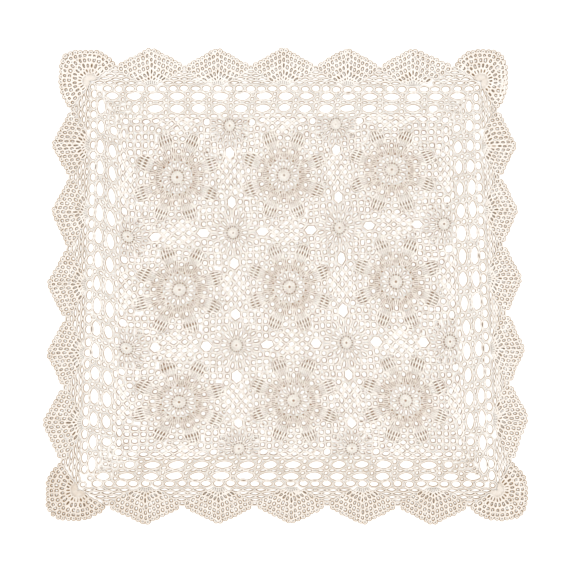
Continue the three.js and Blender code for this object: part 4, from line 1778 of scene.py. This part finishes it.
def flat_cut(node: str) -> tuple[tuple[float, float], float]:
    """Flat size and area of a node's sheet, from its underside.

    Args:
        node: Node name.

    Returns:
        Width and length in metres, and the underside's area in square metres.
    """
    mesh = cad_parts[node].data
    mesh.calc_loop_triangles()
    areas = np.zeros(len(mesh.loop_triangles))
    normals = np.zeros(len(mesh.loop_triangles) * 3)
    mesh.loop_triangles.foreach_get("area", areas)
    mesh.loop_triangles.foreach_get("normal", normals)
    low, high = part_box(node)
    underside = normals.reshape(-1, 3)[:, 2] < UNDERSIDE_NORMAL
    return (high.x - low.x, high.y - low.y), float(areas[underside].sum())


def place_piece(crochet: Crochet, node: str, material: bpy.types.Material) -> None:
    """Makes a worked piece an object that stands for its node.

    Args:
        crochet: The gathered cords.
        node: Node name.
        material: The finish's cotton.
    """
    name = f"{node}_crochet"
    mesh = crochet.mesh(name)
    mesh.materials.append(material)
    piece = bpy.data.objects.new(name, mesh)
    bpy.context.scene.collection.objects.link(piece)
    size, area = flat_cut(node)
    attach(piece, "root")
    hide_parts(node)
    LOG.info("%s: %d faces", name, len(mesh.polygons))


# Clean colour, colour of painted shade at a cord's foot, and darker colour of painted shade on strands that
# lie low, for the field and for the border
FIELD_COLOURS = ((0.862, 0.82, 0.767), (0.29, 0.138, 0.03), (0.317, 0.192, 0.098))
BORDER_COLOURS = ((0.838, 0.806, 0.762), (0.46, 0.34, 0.228), (0.445, 0.312, 0.2))
MEDALLION_COTTON = CottonFinish("medallion_cotton", *FIELD_COLOURS)
WHEEL_COTTON = CottonFinish("wheel_cotton", *FIELD_COLOURS)
BORDER_COTTON = CottonFinish("border_cotton", *BORDER_COLOURS)


def main() -> None:
    """Builds the cloth piece by piece, then the studio round it."""
    logging.basicConfig(level=logging.INFO)
    plan = LaidPlan()
    relief, tone = PlaitRelief().group(), CottonToneAndShade().group()
    medallion_cotton = MEDALLION_COTTON.material(relief, tone)
    wheel_cotton = WHEEL_COTTON.material(relief, tone)
    border_cotton = BORDER_COTTON.material(relief, tone)
    seed = 0
    for row in (-1, 0, 1):
        for column in (-1, 0, 1):
            seed += 1
            medallion = Medallion(column, row, np.radians(MEDALLION_TURNS[row + 1][column + 1]))
            place_piece(medallion.work(plan, seed), medallion.name, medallion_cotton)
    for row in (1, 2):
        for column in (1, 2):
            seed += 1
            centre = np.array([2 * column - 3, 2 * row - 3]) * HALF_PITCH
            wheel = JoiningWheel(f"wheel_{row}_{column}", centre)
            place_piece(wheel.work(plan, seed), wheel.name, wheel_cotton)
    # The last number of each side sets how much extra painted shade its fans carry, most on the bottom
    # side, whose rows of loops carry extra painted shade too
    borders = {
        Side.TOP: BorderSide(Side.TOP, (60, 58.5, 59.5, 60, 60), 38.5, 85.0, -3.0, 0.4),
        Side.LEFT: BorderSide(Side.LEFT, (62.5, 60, 62, 58.5, 60.5), 39.5, 85.5, -1.5, 2.6),
        Side.BOTTOM: BorderSide(Side.BOTTOM, (60, 59, 59, 59, 59.5), 37.5, 87.0, 0.5, 3.3, row_shade=2.5),
        Side.RIGHT: BorderSide(Side.RIGHT, (57, 56, 56.5, 55, 56), 35.0, 83.5, 0.0, 2.0),
    }
    for side, border in borders.items():
        for number in (1, 2):
            seed += 1
            sign = side.first_sign * (1 if number == 1 else -1)
            centre = side.along * sign * HALF_PITCH + side.outward * SIDE_WHEEL_LINE
            wheel = JoiningWheel(f"side_wheel_{side.value}_{number}", centre, SIDE_WHEEL_SCALE, side)
            place_piece(wheel.work(plan, seed), wheel.name, wheel_cotton)
        seed += 1
        place_piece(border.work(plan, seed), border.name, border_cotton)
    top, left, bottom, right = (borders[side] for side in (Side.TOP, Side.LEFT, Side.BOTTOM, Side.RIGHT))
    # The sixth number sets how much extra painted shade each corner fan carries, most on the bottom two
    corners = (
        CornerFan(Corner.TOP_LEFT, (-14, 18.5), 39, 39, 5, 1.5, left, top),
        CornerFan(Corner.TOP_RIGHT, (15, 19), 33, 40, 4, 1.5, top, right),
        CornerFan(Corner.BOTTOM_RIGHT, (16, -15.5), 38.5, 38.5, 4.5, 3.5, right, bottom),
        CornerFan(Corner.BOTTOM_LEFT, (-16.5, -17), 41, 38.5, 4.5, 5.0, bottom, left),
    )
    for corner in corners:
        seed += 1
        place_piece(corner.work(plan, seed), corner.name, border_cotton)
    Studio().build()


if __name__ == "__main__":
    main()
